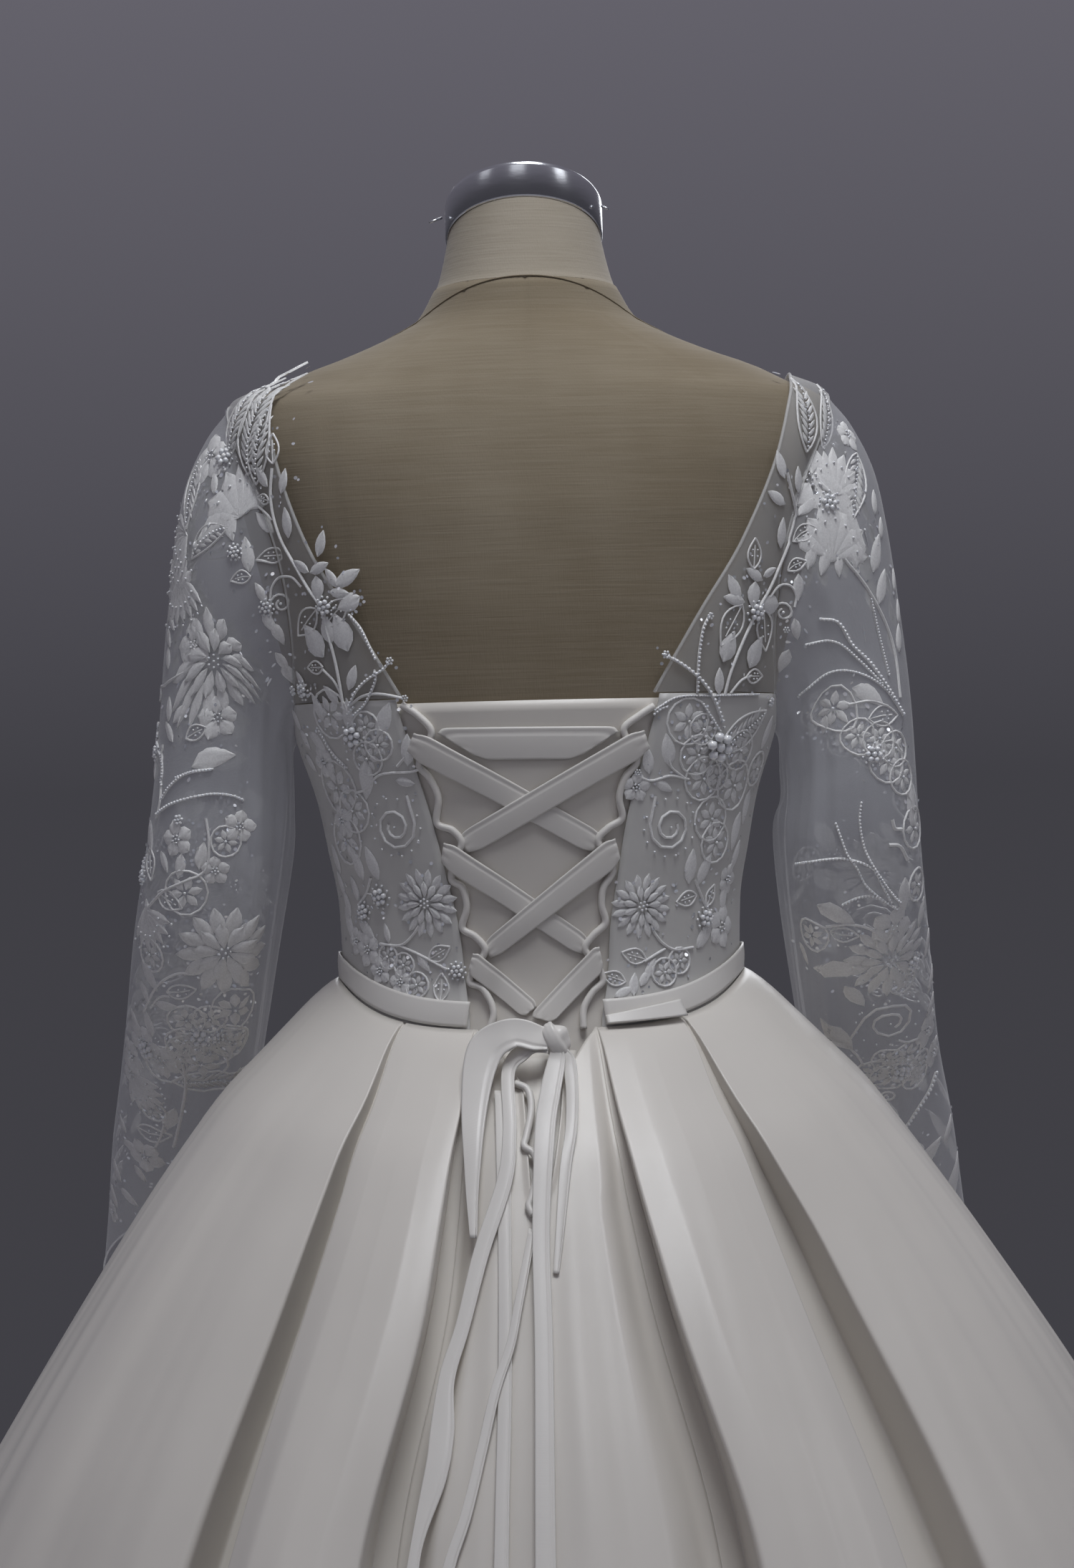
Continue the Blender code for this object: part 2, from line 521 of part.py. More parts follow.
def bodice_top(angle):
    """The bodice's upper edge at an angle from 0, the centre back, to 180, the centre front."""
    angle = abs(angle)
    if angle >= FRONT_PEAK_ANGLE:
        return sweetheart(angle)
    if angle >= FRONT_FOOT_ANGLE:
        share = (angle - FRONT_FOOT_ANGLE) / (FRONT_PEAK_ANGLE - FRONT_FOOT_ANGLE)
        return mix(FRONT_FOOT_Z, NECK_FRONT[0].z, share)
    z = LINING_TOP
    for _ in range(6):
        z = arm_low(skin(angle, z).y)
    return min(LINING_TOP, z) if angle < 90 else z


def bodice_bottom(angle):
    return waist_seam(angle) - 0.008


def build_bodice(satin):
    rows, inner, outer = 10, 6, 4
    corner = abs(angle_at_depth(arm_oval(180 + ARM_BACK_FOOT)[0], LINING_TOP, 1))
    for side, word in ((-1, "left"), (1, "right")):

        def place(column, row, side=side):
            drop = row / rows
            z = mix(1.18, 1.01, drop)
            for _ in range(4):
                edge = abs(opening_angle(side, z, beyond=0.0030))
                if column <= inner:
                    angle = mix(edge, corner, column / inner)
                else:
                    angle = mix(corner, 90 - 0.09, (column - inner) / outer)
                z = mix(bodice_top(angle), bodice_bottom(angle), drop)
            return over(side * angle, z, LIFT_BODICE)

        wall("bodice_back_" + word, inner + outer, rows, place, CLOTH, satin)

    half = [90.09] + [mix(90, FRONT_FOOT_ANGLE, k / 5) for k in (1, 2, 3, 4, 5)]
    half += [mix(FRONT_FOOT_ANGLE, FRONT_PEAK_ANGLE, k / 4) for k in (1, 2, 3, 4)]
    half += [mix(FRONT_PEAK_ANGLE, 180, k / 4) for k in (1, 2, 3, 4)]
    angles = half + [360 - angle for angle in reversed(half[:-1])]
    columns = len(angles) - 1

    def front(column, row):
        angle = angles[column]
        folded = angle if angle <= 180 else 360 - angle
        z = mix(bodice_top(folded), bodice_bottom(folded), row / rows)
        return over(angle, z, LIFT_BODICE)

    wall("bodice_front", columns, rows, front, CLOTH, satin)

    def modesty(column, row):
        drop = row / 13
        z = mix(1.1833, 0.952, drop)
        left = opening_angle(-1, z, beyond=0.012)
        right = opening_angle(1, z, beyond=0.012)
        return over(mix(left, right, column / 10), z, LIFT_MODESTY)

    wall("modesty_panel", 10, 13, modesty, 1.4 * MM, satin)


def build_yokes(tulle):
    """The sheer piece from the lining's top edge, over the shoulder and down to the front of the bodice."""
    columns = 4
    back_half = curve_through(NECK_BACK, "z", "half")
    back_middle = curve_through(NECK_BACK, "z", "middle")
    front_half = curve_through(NECK_FRONT, "z", "half")
    top = NECK_BACK[-1].z
    step = 2 * SEAM
    for side, word in ((-1, "left"), (1, "right")):

        def place(column, row, side=side):
            turn, share = YOKE_TURNS[row], column / columns
            y, arm_z = arm_oval(turn, SEAM)
            if turn <= 0:
                along = 1 - turn / YOKE_TURNS[0]
                z = mix(LINING_TOP + step, top, math.sin(along * math.pi / 2) ** 1.1)
                neck = angle_at(side * back_half(z) + back_middle(z), z)
                arm_z = max(arm_z, LINING_TOP + step)
            else:
                along = turn / ARM_FRONT_FOOT
                z = mix(top, NECK_FRONT[0].z + step, 1 - math.cos(along * math.pi / 2))
                neck = angle_at(side * front_half(z), z, front=True)
            angle = mix(neck, angle_at_depth(y, arm_z, side), share)
            z = mix(z, arm_z, share)
            if row == len(YOKE_TURNS) - 1:
                z = bodice_top(angle) + step
            return over(angle, z, LIFT_BODICE)

        wall("yoke_" + word, columns, len(YOKE_TURNS) - 1, place, TULLE, tulle)


# The sleeves

def sleeve_rings(side, reaches):
    """Each ring as a function of the turn from its outer point towards the front, in degrees."""
    def arm_ring(turn):
        y, z = arm_oval(turn, -1.2 * MM)
        return over(angle_at_depth(y, z, side), z, LIFT_BODICE)

    def plane_ring(outer, inner, half, front=1.0):
        middle = (outer + inner) / 2
        reach = (outer - inner) / 2

        def point(turn):
            t = math.radians(turn)
            fold = 1 + (TULLE_FOLD / SLEEVE_RADIUS) * front * math.sin(5 * t) * max(0.0, -math.sin(t + 0.6))
            return middle + (reach * math.cos(t) + Vector((0, half * math.sin(t), 0))) * fold
        return point

    rings = [arm_ring]
    for row in SLEEVE_CAP:
        outer = Vector((side * row.x_out, row.y, row.z_out))
        inner = Vector((side * row.x_in, row.y, row.z_in))
        flat = plane_ring(outer, inner, row.half, 0.0)
        rings.append(lambda turn, flat=flat, share=row.share: arm_ring(turn).lerp(flat(turn), share))
    centres = [Vector((side * row.x, row.y, row.z)) for row in reaches]
    for k, centre in enumerate(centres):
        before, after = centres[max(0, k - 1)], centres[min(len(centres) - 1, k + 1)]
        run = (after - before).normalized()
        out = Vector((side, 0, 0))
        out = (out - run * out.dot(run)).normalized()
        forward = out.cross(run) * side

        def tube(turn, centre=centre, out=out, forward=forward, k=k):
            t = math.radians(turn)
            fold = 1 + (TULLE_FOLD / SLEEVE_RADIUS) * math.sin(5 * t) * max(0.0, -math.sin(t + 0.6))
            return centre + (out * math.cos(t) + forward * math.sin(t)) * SLEEVE_RADIUS * fold
        rings.append(tube)
    return rings


def build_sleeves(tulle):
    for side, word, reaches in ((-1, "left", SLEEVE_LEFT), (1, "right", SLEEVE_RIGHT)):
        rings = sleeve_rings(side, reaches)

        def place(column, row, rings=rings):
            return rings[row](360 * (column % SLEEVE_AROUND) / SLEEVE_AROUND)

        wall("sleeve_" + word, SLEEVE_AROUND, len(rings) - 1, place, TULLE, tulle, ring=True)


# The skirt

flare_out = curve_through(FLARE, "drop", "out")
flare_valley = curve_through(FLARE, "drop", "valley")
flare_recess = curve_through(FLARE, "drop", "recess")
flare_crown = curve_through(FLARE, "drop", "crown")


def skirt(angle, z, inward):
    """A point of the skirt at an angle and height, inward from its crown line."""
    turn = math.radians(angle)
    seam = waist_seam(angle)
    drop = max(0.0, seam - z)
    start = over(angle, seam, LIFT_WAIST_FLOOR + WAIST_PLEAT)
    out = flare_out(drop) - inward
    return Vector((start.x + out * math.sin(turn), start.y - out * math.cos(turn), z))


def fold_angles(name, drop):
    valley = next(v for v in VALLEYS if v.name == name)
    columns = (valley.waist, valley.high, valley.middle, valley.low, valley.hem)
    return tuple(smooth_line(list(zip(VALLEY_DROPS, [c[k] for c in columns])))(drop) for k in (0, 1))


def slant(drop):
    """How much longer a sideways step is than the same step square to the centre back's slope."""
    step = 0.004
    rise = (flare_out(drop + step) - flare_recess(drop + step)) - (flare_out(drop) - flare_recess(drop))
    return math.hypot(1, rise / step)


def skirt_top(angle):
    return waist_seam(angle) - SEAM


def hem_row(angle, top, row):
    return mix(top, 0.0006, SKIRT_ROWS[row])


def build_skirt_panel(panel, satin):
    """One pleated panel: in from a seam on the valley's floor, up its wall, over the crown and down again."""
    def section(z, drop):
        start = fold_angles(panel.start, drop)
        end = fold_angles(panel.end, drop)
        first, last = start[1], end[0]
        if last < first:
            last += 360
        seam_first = (start[0] + start[1]) / 2
        seam_last = (end[0] + end[1]) / 2 + (360 if end[0] < first else 0)
        radius = 0.115 + flare_out(drop)
        per_metre = math.degrees(1 / radius)
        seam_first += 0.5 * SEAM * per_metre
        seam_last -= 0.5 * SEAM * per_metre
        deep, crown = flare_valley(drop), flare_crown(drop) * panel.round
        tuck = 0.2 * max(0.0, deep - WAIST_PLEAT) * per_metre
        points = [(seam_first, deep), (first + tuck, deep), (first, crown)]
        for k in range(1, panel.crown):
            share = k / panel.crown
            points.append((mix(first, last, share), crown * abs(2 * share - 1) ** 2.2))
        points += [(last, crown), (last - tuck, deep), (seam_last, deep)]
        return points

    across = panel.crown + 4

    def place(column, row):
        middle = sum(fold_angles(panel.start, 0)) / 2
        angle = middle
        for _ in range(3):
            z = hem_row(angle, skirt_top(angle), row)
            angle, inward = section(z, waist_seam(angle) - z)[column]
        return skirt(angle, hem_row(angle, skirt_top(angle), row), inward)

    wall(panel.name, across, len(SKIRT_ROWS) - 1, place, CLOTH, satin)


placket_left = curve_through(PLACKET, "z", "left")
placket_gap = curve_through(PLACKET, "z", "gap")


def placket_right(z):
    radius = 0.115 + flare_out(max(0.0, waist_seam(0) - z))
    return placket_left(z) + math.degrees(placket_gap(z) / radius)


placket_top = smooth_line(PLACKET_TOP)


def centre_depth(share, drop):
    """How far the centre back lies in: full valley depth at the seam, rising to the recess."""
    rise = min(1.0, max(0.0, share - 0.06) / 0.30)
    ease = rise * rise * (3 - 2 * rise)
    return mix(flare_valley(drop), flare_recess(drop), ease)


def build_centre_back(satin):
    """The two recessed panels between the back pleats, each with one edge of the skirt's opening."""
    shares = [0.0, 0.06, 0.16, 0.28, 0.44, 0.62, 0.81, 1.0]
    columns, rows = len(shares) - 1, len(SKIRT_ROWS) - 1
    for side, word in ((-1, "left"), (1, "right")):
        valley = "back_" + word
        edge_of = placket_left if side < 0 else placket_right

        def place(column, row, valley=valley, edge_of=edge_of):
            share = shares[column]
            angle = fold_angles(valley, 0.0)[0]
            for _ in range(4):
                z = mix(skirt_top(angle) - placket_top(share), 0.0006, SKIRT_ROWS[row])
                drop = max(0.0, waist_seam(angle) - z)
                seam = sum(fold_angles(valley, drop)) / 2
                per_metre = math.degrees(1 / (0.115 + flare_out(drop)))
                seam -= math.copysign(0.5 * SEAM * per_metre, seam)
                angle = mix(seam, edge_of(z), share)
            return skirt(angle, z, centre_depth(share, drop))

        wall("skirt_centre_back_" + word, columns, rows, place, CLOTH, satin)

    def underlap(column, row):
        share = row / 5
        z = mix(0.994, 0.904, share)
        left = placket_left(z) - mix(2.5, 1.5, share)
        right = placket_right(z) + mix(2.5, 3.5, share)
        angle = mix(left, right, column / 4)
        drop = waist_seam(angle) - z
        return skirt(angle, z, flare_recess(drop) + (CLOTH + 1.9 * MM) * slant(drop))

    wall("placket_underlap", 4, 5, underlap, CLOTH, satin)


# Belt, lacing and loops

def build_belt(satin):
    start = opening_angle(1, 1.02, beyond=0.0012)
    end = 360 + opening_angle(-1, 1.02, beyond=0.0012)
    columns = 44

    def band(column, row):
        angle = mix(start, end, column / columns)
        return over(angle, belt_top(angle) - row * BELT_HEIGHT, LIFT_BELT)

    wall("belt", columns, 1, band, CLOTH, satin)

    def tab(column, row):
        share = column / 5
        x = mix(0.0325, 0.0720, share)
        angle = angle_at(x, 1.01)
        top = mix(1.0105, 1.0165, share) + 0.0
        z = top - row * mix(0.0045, 0.0095, share)
        return over(angle, max(z, 0.99), LIFT_BELT + CLOTH + 0.35 * MM + (row * 1.0 + share) * 2.2 * MM)

    wall("belt_tab", 5, 1, tab, CLOTH, satin)


def build_lacing(satin):
    lifts_at = [0.0, 0.16, 0.5, 0.8, 1.0]
    for ribbon in LACING:
        lift = smooth_line(list(zip(lifts_at, ribbon.lifts)))
        stations = 10

        def place(column, row, ribbon=ribbon, lift=lift):
            along = row / stations
            up = Vector(ribbon.start_up).lerp(Vector(ribbon.end_up), along)
            low = Vector(ribbon.start_low).lerp(Vector(ribbon.end_low), along)
            x, z = up.lerp(low, column / 2)
            return over(angle_at(x, z), z, lift(along) * MM)

        wall(ribbon.name, 2, stations, place, RIBBON, satin)

    for name, route in (("loops_left", LOOPS_LEFT), ("loops_right", LOOPS_RIGHT)):
        flat = rounded([(x, z, 0) for x, z in route], 2)
        points = [over(angle_at(p.x, p.y), p.y, LIFT_LOOPS) for p in flat]
        rouleau(name, points, LOOP_RADIUS, satin)

    flat = rounded([(x, z, 0) for x, z in PLACKET_LOOPS], 2)
    rouleau("placket_loops", [on_centre(p.x, p.y, 2.4 * MM) for p in flat], LOOP_RADIUS, satin)


def on_centre(x, z, lift):
    """A point that lies lift above the skirt's recessed centre back."""
    drop = max(0.0, waist_seam(0) - z)
    radius = 0.115 + flare_out(drop)
    angle = math.degrees(math.asin(max(-1.0, min(1.0, x / radius))))
    return skirt(angle, z, flare_recess(drop) - lift * slant(drop))


def build_hanging_ribbons(satin):
    for name, rows in STRANDS.items():
        line = rounded([(row.x, row.z, 0) for row in rows], 3)
        count = len(line) - 1
        lift = smooth_line([(k / (len(rows) - 1), row.lift) for k, row in enumerate(rows)])
        width = smooth_line([(k / (len(rows) - 1), row.width) for k, row in enumerate(rows)])

        def place(column, row, line=line, count=count, lift=lift, width=width):
            along = row / count
            before, after = line[max(0, row - 1)], line[min(count, row + 1)]
            run = (after - before).normalized()
            aside = Vector((-run.y, run.x, 0))
            spot = line[row] + aside * (0.5 - column) * width(along) * MM
            return on_centre(spot.x, spot.y, lift(along) * MM)

        wall(name, 1, count, place, RIBBON, satin)


def build_knot(satin):
    """The tied knot: a rounded lump with the ribbon's edge raised round its middle."""
    mesh = bmesh.new()
    bmesh.ops.create_uvsphere(mesh, u_segments=14, v_segments=9, radius=1.0)
    centre = on_centre(KNOT_X, KNOT_Z, 0.0)
    wide, deep, tall = KNOT_SIZE
    centre.y = on_centre(KNOT_X, KNOT_Z, 0.0).y - deep - 6.4 * MM
    for vertex in mesh.verts:
        spot = vertex.co
        ridge = 1 + 0.10 * math.cos(3 * math.atan2(spot.z, spot.x)) * (1 - spot.y ** 2)
        vertex.co = centre + Vector((spot.x * wide * ridge, spot.y * deep, spot.z * tall * ridge))
    add("lace_knot", mesh, satin, smooth=True)


def main():
    clear_scene()
    linen = finish("linen", (0.50, 0.44, 0.35), 0.85)
    chrome = finish("chrome", (0.62, 0.63, 0.66), 0.12, 1.0)
    iron = finish("iron", (0.10, 0.10, 0.11), 0.45, 0.6)
    satin = finish("satin", (0.80, 0.78, 0.75), 0.38)
    ribbon = finish("ribbon", (0.82, 0.80, 0.78), 0.30)
    tulle = finish("tulle", (0.86, 0.86, 0.86), 0.70)
    build_form(linen, chrome, iron)
    build_bodice(satin)
    build_yokes(tulle)
    build_sleeves(tulle)
    for panel in PANELS:
        build_skirt_panel(panel, satin)
    build_centre_back(satin)
    build_belt(ribbon)
    build_lacing(ribbon)
    build_hanging_ribbons(ribbon)
    build_knot(ribbon)


main()
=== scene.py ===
# %% [markdown]
# # A laced-back ball gown on a dress form
# The gown is seen from behind: a form covered in linen, a sheer yoke with embroidered sleeves, a lined
# bodice that laces up over a satin panel, and a heavy satin skirt laid in box pleats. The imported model
# gives every node's place, and the pieces made here are the fine cloth that lies where those solids are.

# %% Load the frame
import math
import random
from collections import namedtuple

import bmesh
import bpy
import numpy as np
from mathutils import Matrix, Vector, noise


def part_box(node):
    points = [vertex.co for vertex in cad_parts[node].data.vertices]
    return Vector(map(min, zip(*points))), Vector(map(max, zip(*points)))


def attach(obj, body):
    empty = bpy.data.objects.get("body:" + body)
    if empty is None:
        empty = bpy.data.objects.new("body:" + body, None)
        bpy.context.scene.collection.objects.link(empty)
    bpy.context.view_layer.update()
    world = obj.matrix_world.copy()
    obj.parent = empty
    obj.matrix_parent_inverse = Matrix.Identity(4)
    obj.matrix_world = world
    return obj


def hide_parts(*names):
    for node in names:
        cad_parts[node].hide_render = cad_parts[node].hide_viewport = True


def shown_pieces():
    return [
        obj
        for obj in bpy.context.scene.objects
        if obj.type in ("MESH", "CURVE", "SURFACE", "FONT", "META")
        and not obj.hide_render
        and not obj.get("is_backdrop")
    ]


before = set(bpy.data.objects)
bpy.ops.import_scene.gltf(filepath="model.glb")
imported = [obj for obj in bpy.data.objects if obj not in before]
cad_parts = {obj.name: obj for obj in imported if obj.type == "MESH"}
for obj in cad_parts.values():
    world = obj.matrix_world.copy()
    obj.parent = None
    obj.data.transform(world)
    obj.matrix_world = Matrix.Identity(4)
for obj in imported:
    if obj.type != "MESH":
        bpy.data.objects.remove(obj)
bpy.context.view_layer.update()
MM = 0.001
random.seed(7)

# %% [markdown]
# ## The camera
# The photograph is a level view from behind, from two metres away, and a little tilted, so that the
# gown's top leans to the left. The lens follows from the scale: 2460 pixels to a metre at the form's
# axis.

# %% The camera
PHOTO_TALL = 2190
CAMERA_PLACE = Vector((0.0, -2.0, 1.138))
PIXELS_PER_METRE = 2460.0
PHOTO_MIDDLE = (749.4, 1095.0)
LEAN = math.atan2(25, 1050)   # the gown's middle line runs 25 pixels left over 1050 up
SENSOR = 36.0

camera = bpy.data.objects.new("camera", bpy.data.cameras.new("camera"))
bpy.context.scene.collection.objects.link(camera)
camera.data.sensor_fit = "AUTO"
camera.data.sensor_width = SENSOR
camera.data.lens = SENSOR * PIXELS_PER_METRE * -CAMERA_PLACE.y / PHOTO_TALL
camera.matrix_world = (Matrix.Translation(CAMERA_PLACE) @ Matrix.Rotation(LEAN, 4, "Y")
                       @ Matrix.Rotation(math.pi / 2, 4, "X"))
bpy.context.scene.camera = camera

print("lens:", round(camera.data.lens, 2), "mm")

# %% [markdown]
# ## The form's skin
# A gown is cut to the body, so every close-fitting piece here is one surface, the form's skin, moved out
# by its own lift. The skin is an oval at each height, with its half-width, its depth behind and before,
# and how square it is read from a smooth curve through a short table.

# %% Smooth curves through tables
def mix(a, b, t):
    return a + (b - a) * t


def power(value, exponent):
    return math.copysign(abs(value) ** exponent, value)


def smooth_line(pairs):
    xs, ys = [p[0] for p in pairs], [p[1] for p in pairs]
    rises = [(ys[i + 1] - ys[i]) / (xs[i + 1] - xs[i]) for i in range(len(xs) - 1)]
    slopes = [rises[0]] + [0.0] * (len(xs) - 2) + [rises[-1]]
    for i in range(1, len(xs) - 1):
        before, after = rises[i - 1], rises[i]
        if before * after > 0:
            slopes[i] = 2 * before * after / (before + after)

    def value(x):
        if x <= xs[0]:
            return ys[0]
        if x >= xs[-1]:
            return ys[-1]
        i = max(k for k in range(len(xs) - 1) if xs[k] <= x)
        step = xs[i + 1] - xs[i]
        t = (x - xs[i]) / step
        start, end = ys[i], ys[i + 1]
        into, out = slopes[i] * step, slopes[i + 1] * step
        return (start * (1 + 2 * t) * (1 - t) ** 2 + into * t * (1 - t) ** 2
                + end * t * t * (3 - 2 * t) + out * t * t * (t - 1))

    return value


def curve_through(rows, key, column):
    """A smooth function through a table's rows that never swings past them (a monotone cubic)."""
    pairs = sorted((getattr(row, key), getattr(row, column)) for row in rows)
    return smooth_line(pairs)


def rounded(points, per_span):
    """Points along a smooth line (Catmull-Rom) through the given ones."""
    line = [Vector(p) for p in points]
    ends = [2 * line[0] - line[1]] + line + [2 * line[-1] - line[-2]]
    out = []
    for i in range(1, len(ends) - 2):
        a, b, c, d = ends[i - 1:i + 3]
        for k in range(per_span):
            t = k / per_span
            out.append(0.5 * (2 * b + (c - a) * t + (2 * a - 5 * b + 4 * c - d) * t * t
                              + (3 * b - a - 3 * c + d) * t ** 3))
    out.append(line[-1])
    return out


# %% The skin
Section = namedtuple("Section", "z side back front square")
FORM = [
    Section(0.735, 0.128, 0.096, 0.088, 2.0), Section(0.750, 0.150, 0.109, 0.100, 2.0),
    Section(0.800, 0.166, 0.119, 0.109, 2.1), Section(0.860, 0.167, 0.122, 0.111, 2.1),
    Section(0.920, 0.152, 0.113, 0.108, 2.1), Section(0.970, 0.133, 0.099, 0.102, 2.0),
    Section(1.000, 0.120, 0.091, 0.097, 2.0), Section(1.035, 0.108, 0.087, 0.092, 2.0),
    Section(1.070, 0.109, 0.090, 0.095, 2.0), Section(1.106, 0.115, 0.094, 0.102, 2.1),
    Section(1.131, 0.120, 0.098, 0.109, 2.1), Section(1.166, 0.131, 0.103, 0.118, 2.2),
    Section(1.200, 0.139, 0.106, 0.120, 2.3), Section(1.240, 0.149, 0.108, 0.114, 2.3),
    Section(1.280, 0.159, 0.107, 0.102, 2.3), Section(1.310, 0.166, 0.103, 0.090, 2.3),
    Section(1.335, 0.170, 0.097, 0.079, 2.2), Section(1.3535, 0.166, 0.090, 0.071, 2.1),
    Section(1.362, 0.148, 0.086, 0.066, 2.0), Section(1.371, 0.130, 0.081, 0.061, 2.0),
    Section(1.380, 0.105, 0.076, 0.057, 2.0), Section(1.391, 0.079, 0.069, 0.053, 2.0),
    Section(1.400, 0.063, 0.064, 0.050, 2.0), Section(1.418, 0.052, 0.058, 0.046, 2.0),
]
BUST_ANGLE, BUST_SPREAD, BUST_Z, BUST_HEIGHT, BUST_PROUD = 143.0, 24.0, 1.205, 0.05, 0.013
FORM_BOTTOM = 0.735
NECK_SEAM = 1.418
form_side = curve_through(FORM, "z", "side")
form_back = curve_through(FORM, "z", "back")
form_front = curve_through(FORM, "z", "front")
form_square = curve_through(FORM, "z", "square")


def skin(angle, z):
    """The form's skin at an angle from the centre back, turning towards +X, and a height."""
    turn = math.radians(angle)
    bend = 2 / form_square(z)
    depth = form_back(z) if math.cos(turn) > 0 else form_front(z)
    x = form_side(z) * power(math.sin(turn), bend)
    y = -depth * power(math.cos(turn), bend)
    folded = abs((angle + 180) % 360 - 180)
    bump = math.exp(-((folded - BUST_ANGLE) / BUST_SPREAD) ** 2 - ((z - BUST_Z) / BUST_HEIGHT) ** 2)
    return Vector((x + BUST_PROUD * bump * 0.4 * math.sin(turn), y + BUST_PROUD * bump, z))


def outward(angle, z):
    """The skin's outward direction."""
    around = skin(angle + 1, z) - skin(angle - 1, z)
    low, high = max(FORM_BOTTOM, z - 0.004), min(NECK_SEAM, z + 0.004)
    up = skin(angle, high) - skin(angle, low)
    return around.cross(up).normalized()


def over(angle, z, lift):
    """A point that lies lift above the form's skin."""
    return skin(angle, z) + outward(angle, z) * lift


def angle_at(x, z, front=False):
    """The angle at which the skin has this x."""
    share = min(1.0, abs(x) / form_side(z))
    turn = math.degrees(math.asin(share ** (form_square(z) / 2)))
    return math.copysign(180 - turn if front else turn, x)


def angle_at_depth(y, z, side):
    """The angle at which the skin has this y, on the side of +X (1) or -X (-1)."""
    depth = form_back(z) if y < 0 else form_front(z)
    turn = math.degrees(math.acos(min(1.0, abs(y) / depth) ** (form_square(z) / 2)))
    return side * (turn if y < 0 else 180 - turn)


print("half-width at the waist:", round(skin(90, 1.035).x, 3))

# %% [markdown]
# ## Where the cloth ends
# The edges come next: the corset opening, the low back neckline, the armhole, which is an oval seen from
# the side, and the belt, which dips to the opening at the back.

# %% Edges of the cloth
Opening = namedtuple("Opening", "z left right")
OPENING = [
    Opening(0.930, -0.0340, 0.0265), Opening(1.008, -0.0355, 0.0285), Opening(1.031, -0.0371, 0.0318),
    Opening(1.060, -0.0398, 0.0338), Opening(1.089, -0.0459, 0.0386), Opening(1.119, -0.0526, 0.0440),
    Opening(1.152, -0.0619, 0.0535), Opening(1.184, -0.0706, 0.0630),
]
LINING_TOP = 1.186           # where the lining stops and sheer tulle begins, across the back

# The neckline, one row a height: half-width, and how far the opening's middle lies off the axis
Neckline = namedtuple("Neckline", "z half middle")
NECK_BACK = [
    Neckline(1.1863, 0.0668, -0.0038), Neckline(1.2275, 0.0910, -0.0036), Neckline(1.269, 0.1160, -0.0030),
    Neckline(1.315, 0.1345, -0.0012), Neckline(1.345, 0.1420, -0.0003), Neckline(1.3625, 0.1462, 0.0),
]
NECK_FRONT = [
    Neckline(1.2255, 0.0860, 0.0), Neckline(1.250, 0.1040, 0.0), Neckline(1.290, 0.1250, 0.0),
    Neckline(1.335, 0.1395, 0.0), Neckline(1.3625, 0.1462, 0.0),
]
SWEETHEART_DIP = 1.168       # the front edge at the middle

# The armhole, an oval seen from the side
ARM_Y, ARM_Z, ARM_DEPTH, ARM_HEIGHT = 0.003, 1.2595, 0.063, 0.0935
ARM_BACK_FOOT = 38.2         # oval angle from the bottom to where the lining's top edge meets the armhole
YOKE_TURNS = [-141.8, -125, -108, -92, -77, -62, -48, -35, -23, -11, 0, 11, 23, 36, 52, 71, 91, 110, 129]
ARM_FRONT_FOOT = 129.0       # oval angle from the top where the front yoke ends on the bodice
LIFT_MODESTY = 1.6 * MM
LIFT_BODICE = 4.0 * MM
LIFT_LOOPS = 4.0 * MM
LIFT_BELT = 6.3 * MM
LIFT_WAIST_FLOOR = 6.1 * MM
WAIST_PLEAT = 2.2 * MM
BELT_HEIGHT = 14 * MM
SEAM = 0.3 * MM
opening_left = curve_through(OPENING, "z", "left")
opening_right = curve_through(OPENING, "z", "right")


def opening_angle(side, z, beyond=0.0):
    """The angle of the corset opening's edge, or of a line that lies beyond it, towards the side seam."""
    x = opening_right(z) + beyond if side > 0 else opening_left(z) - beyond
    return angle_at(x, z)


def belt_top(angle):
    """The belt's upper edge: level at the front, dipping to the opening at the back."""
    around = math.sin(math.radians(angle)) ** 4
    lowest = 1.0195 if math.cos(math.radians(angle)) > 0 else 1.0320
    return lowest + (1.0457 - lowest) * around


def waist_seam(angle):
    return belt_top(angle) - BELT_HEIGHT


def arm_oval(turn, grow=0.0):
    """y and z on the armhole's oval, turn degrees from its top towards the front."""
    y = ARM_Y + (ARM_DEPTH + grow) * math.sin(math.radians(turn))
    z = ARM_Z + (ARM_HEIGHT + grow) * math.cos(math.radians(turn))
    return y, z


def arm_low(y):
    """Height of the bodice's edge under the arm at this y, a little outside the armhole's oval."""
    ease = 0.8 * MM
    reach = min(1.0, abs(y - ARM_Y) / (ARM_DEPTH + ease))
    return ARM_Z - (ARM_HEIGHT + ease) * math.sqrt(1 - reach * reach)


FRONT_FOOT_Y, FRONT_FOOT_Z = arm_oval(ARM_FRONT_FOOT)
FRONT_FOOT_ANGLE = angle_at_depth(FRONT_FOOT_Y, FRONT_FOOT_Z, 1)
FRONT_PEAK_ANGLE = angle_at(NECK_FRONT[0].half, NECK_FRONT[0].z, front=True)
sweetheart = smooth_line([
    (FRONT_PEAK_ANGLE, NECK_FRONT[0].z), (168.0, 1.196), (180.0, SWEETHEART_DIP),
])


def bodice_top(angle):
    """The bodice's upper edge at an angle from 0, the centre back, to 180, the centre front."""
    angle = abs(angle)
    if angle >= FRONT_PEAK_ANGLE:
        return sweetheart(angle)
    if angle >= FRONT_FOOT_ANGLE:
        share = (angle - FRONT_FOOT_ANGLE) / (FRONT_PEAK_ANGLE - FRONT_FOOT_ANGLE)
        return mix(FRONT_FOOT_Z, NECK_FRONT[0].z, share)
    z = LINING_TOP
    for _ in range(6):
        z = arm_low(skin(angle, z).y)
    return min(LINING_TOP, z) if angle < 90 else z


def bodice_bottom(angle):
    return waist_seam(angle) - 0.008


print("waist seam at the side:", round(waist_seam(90), 3), "at the back:", round(waist_seam(0), 3))

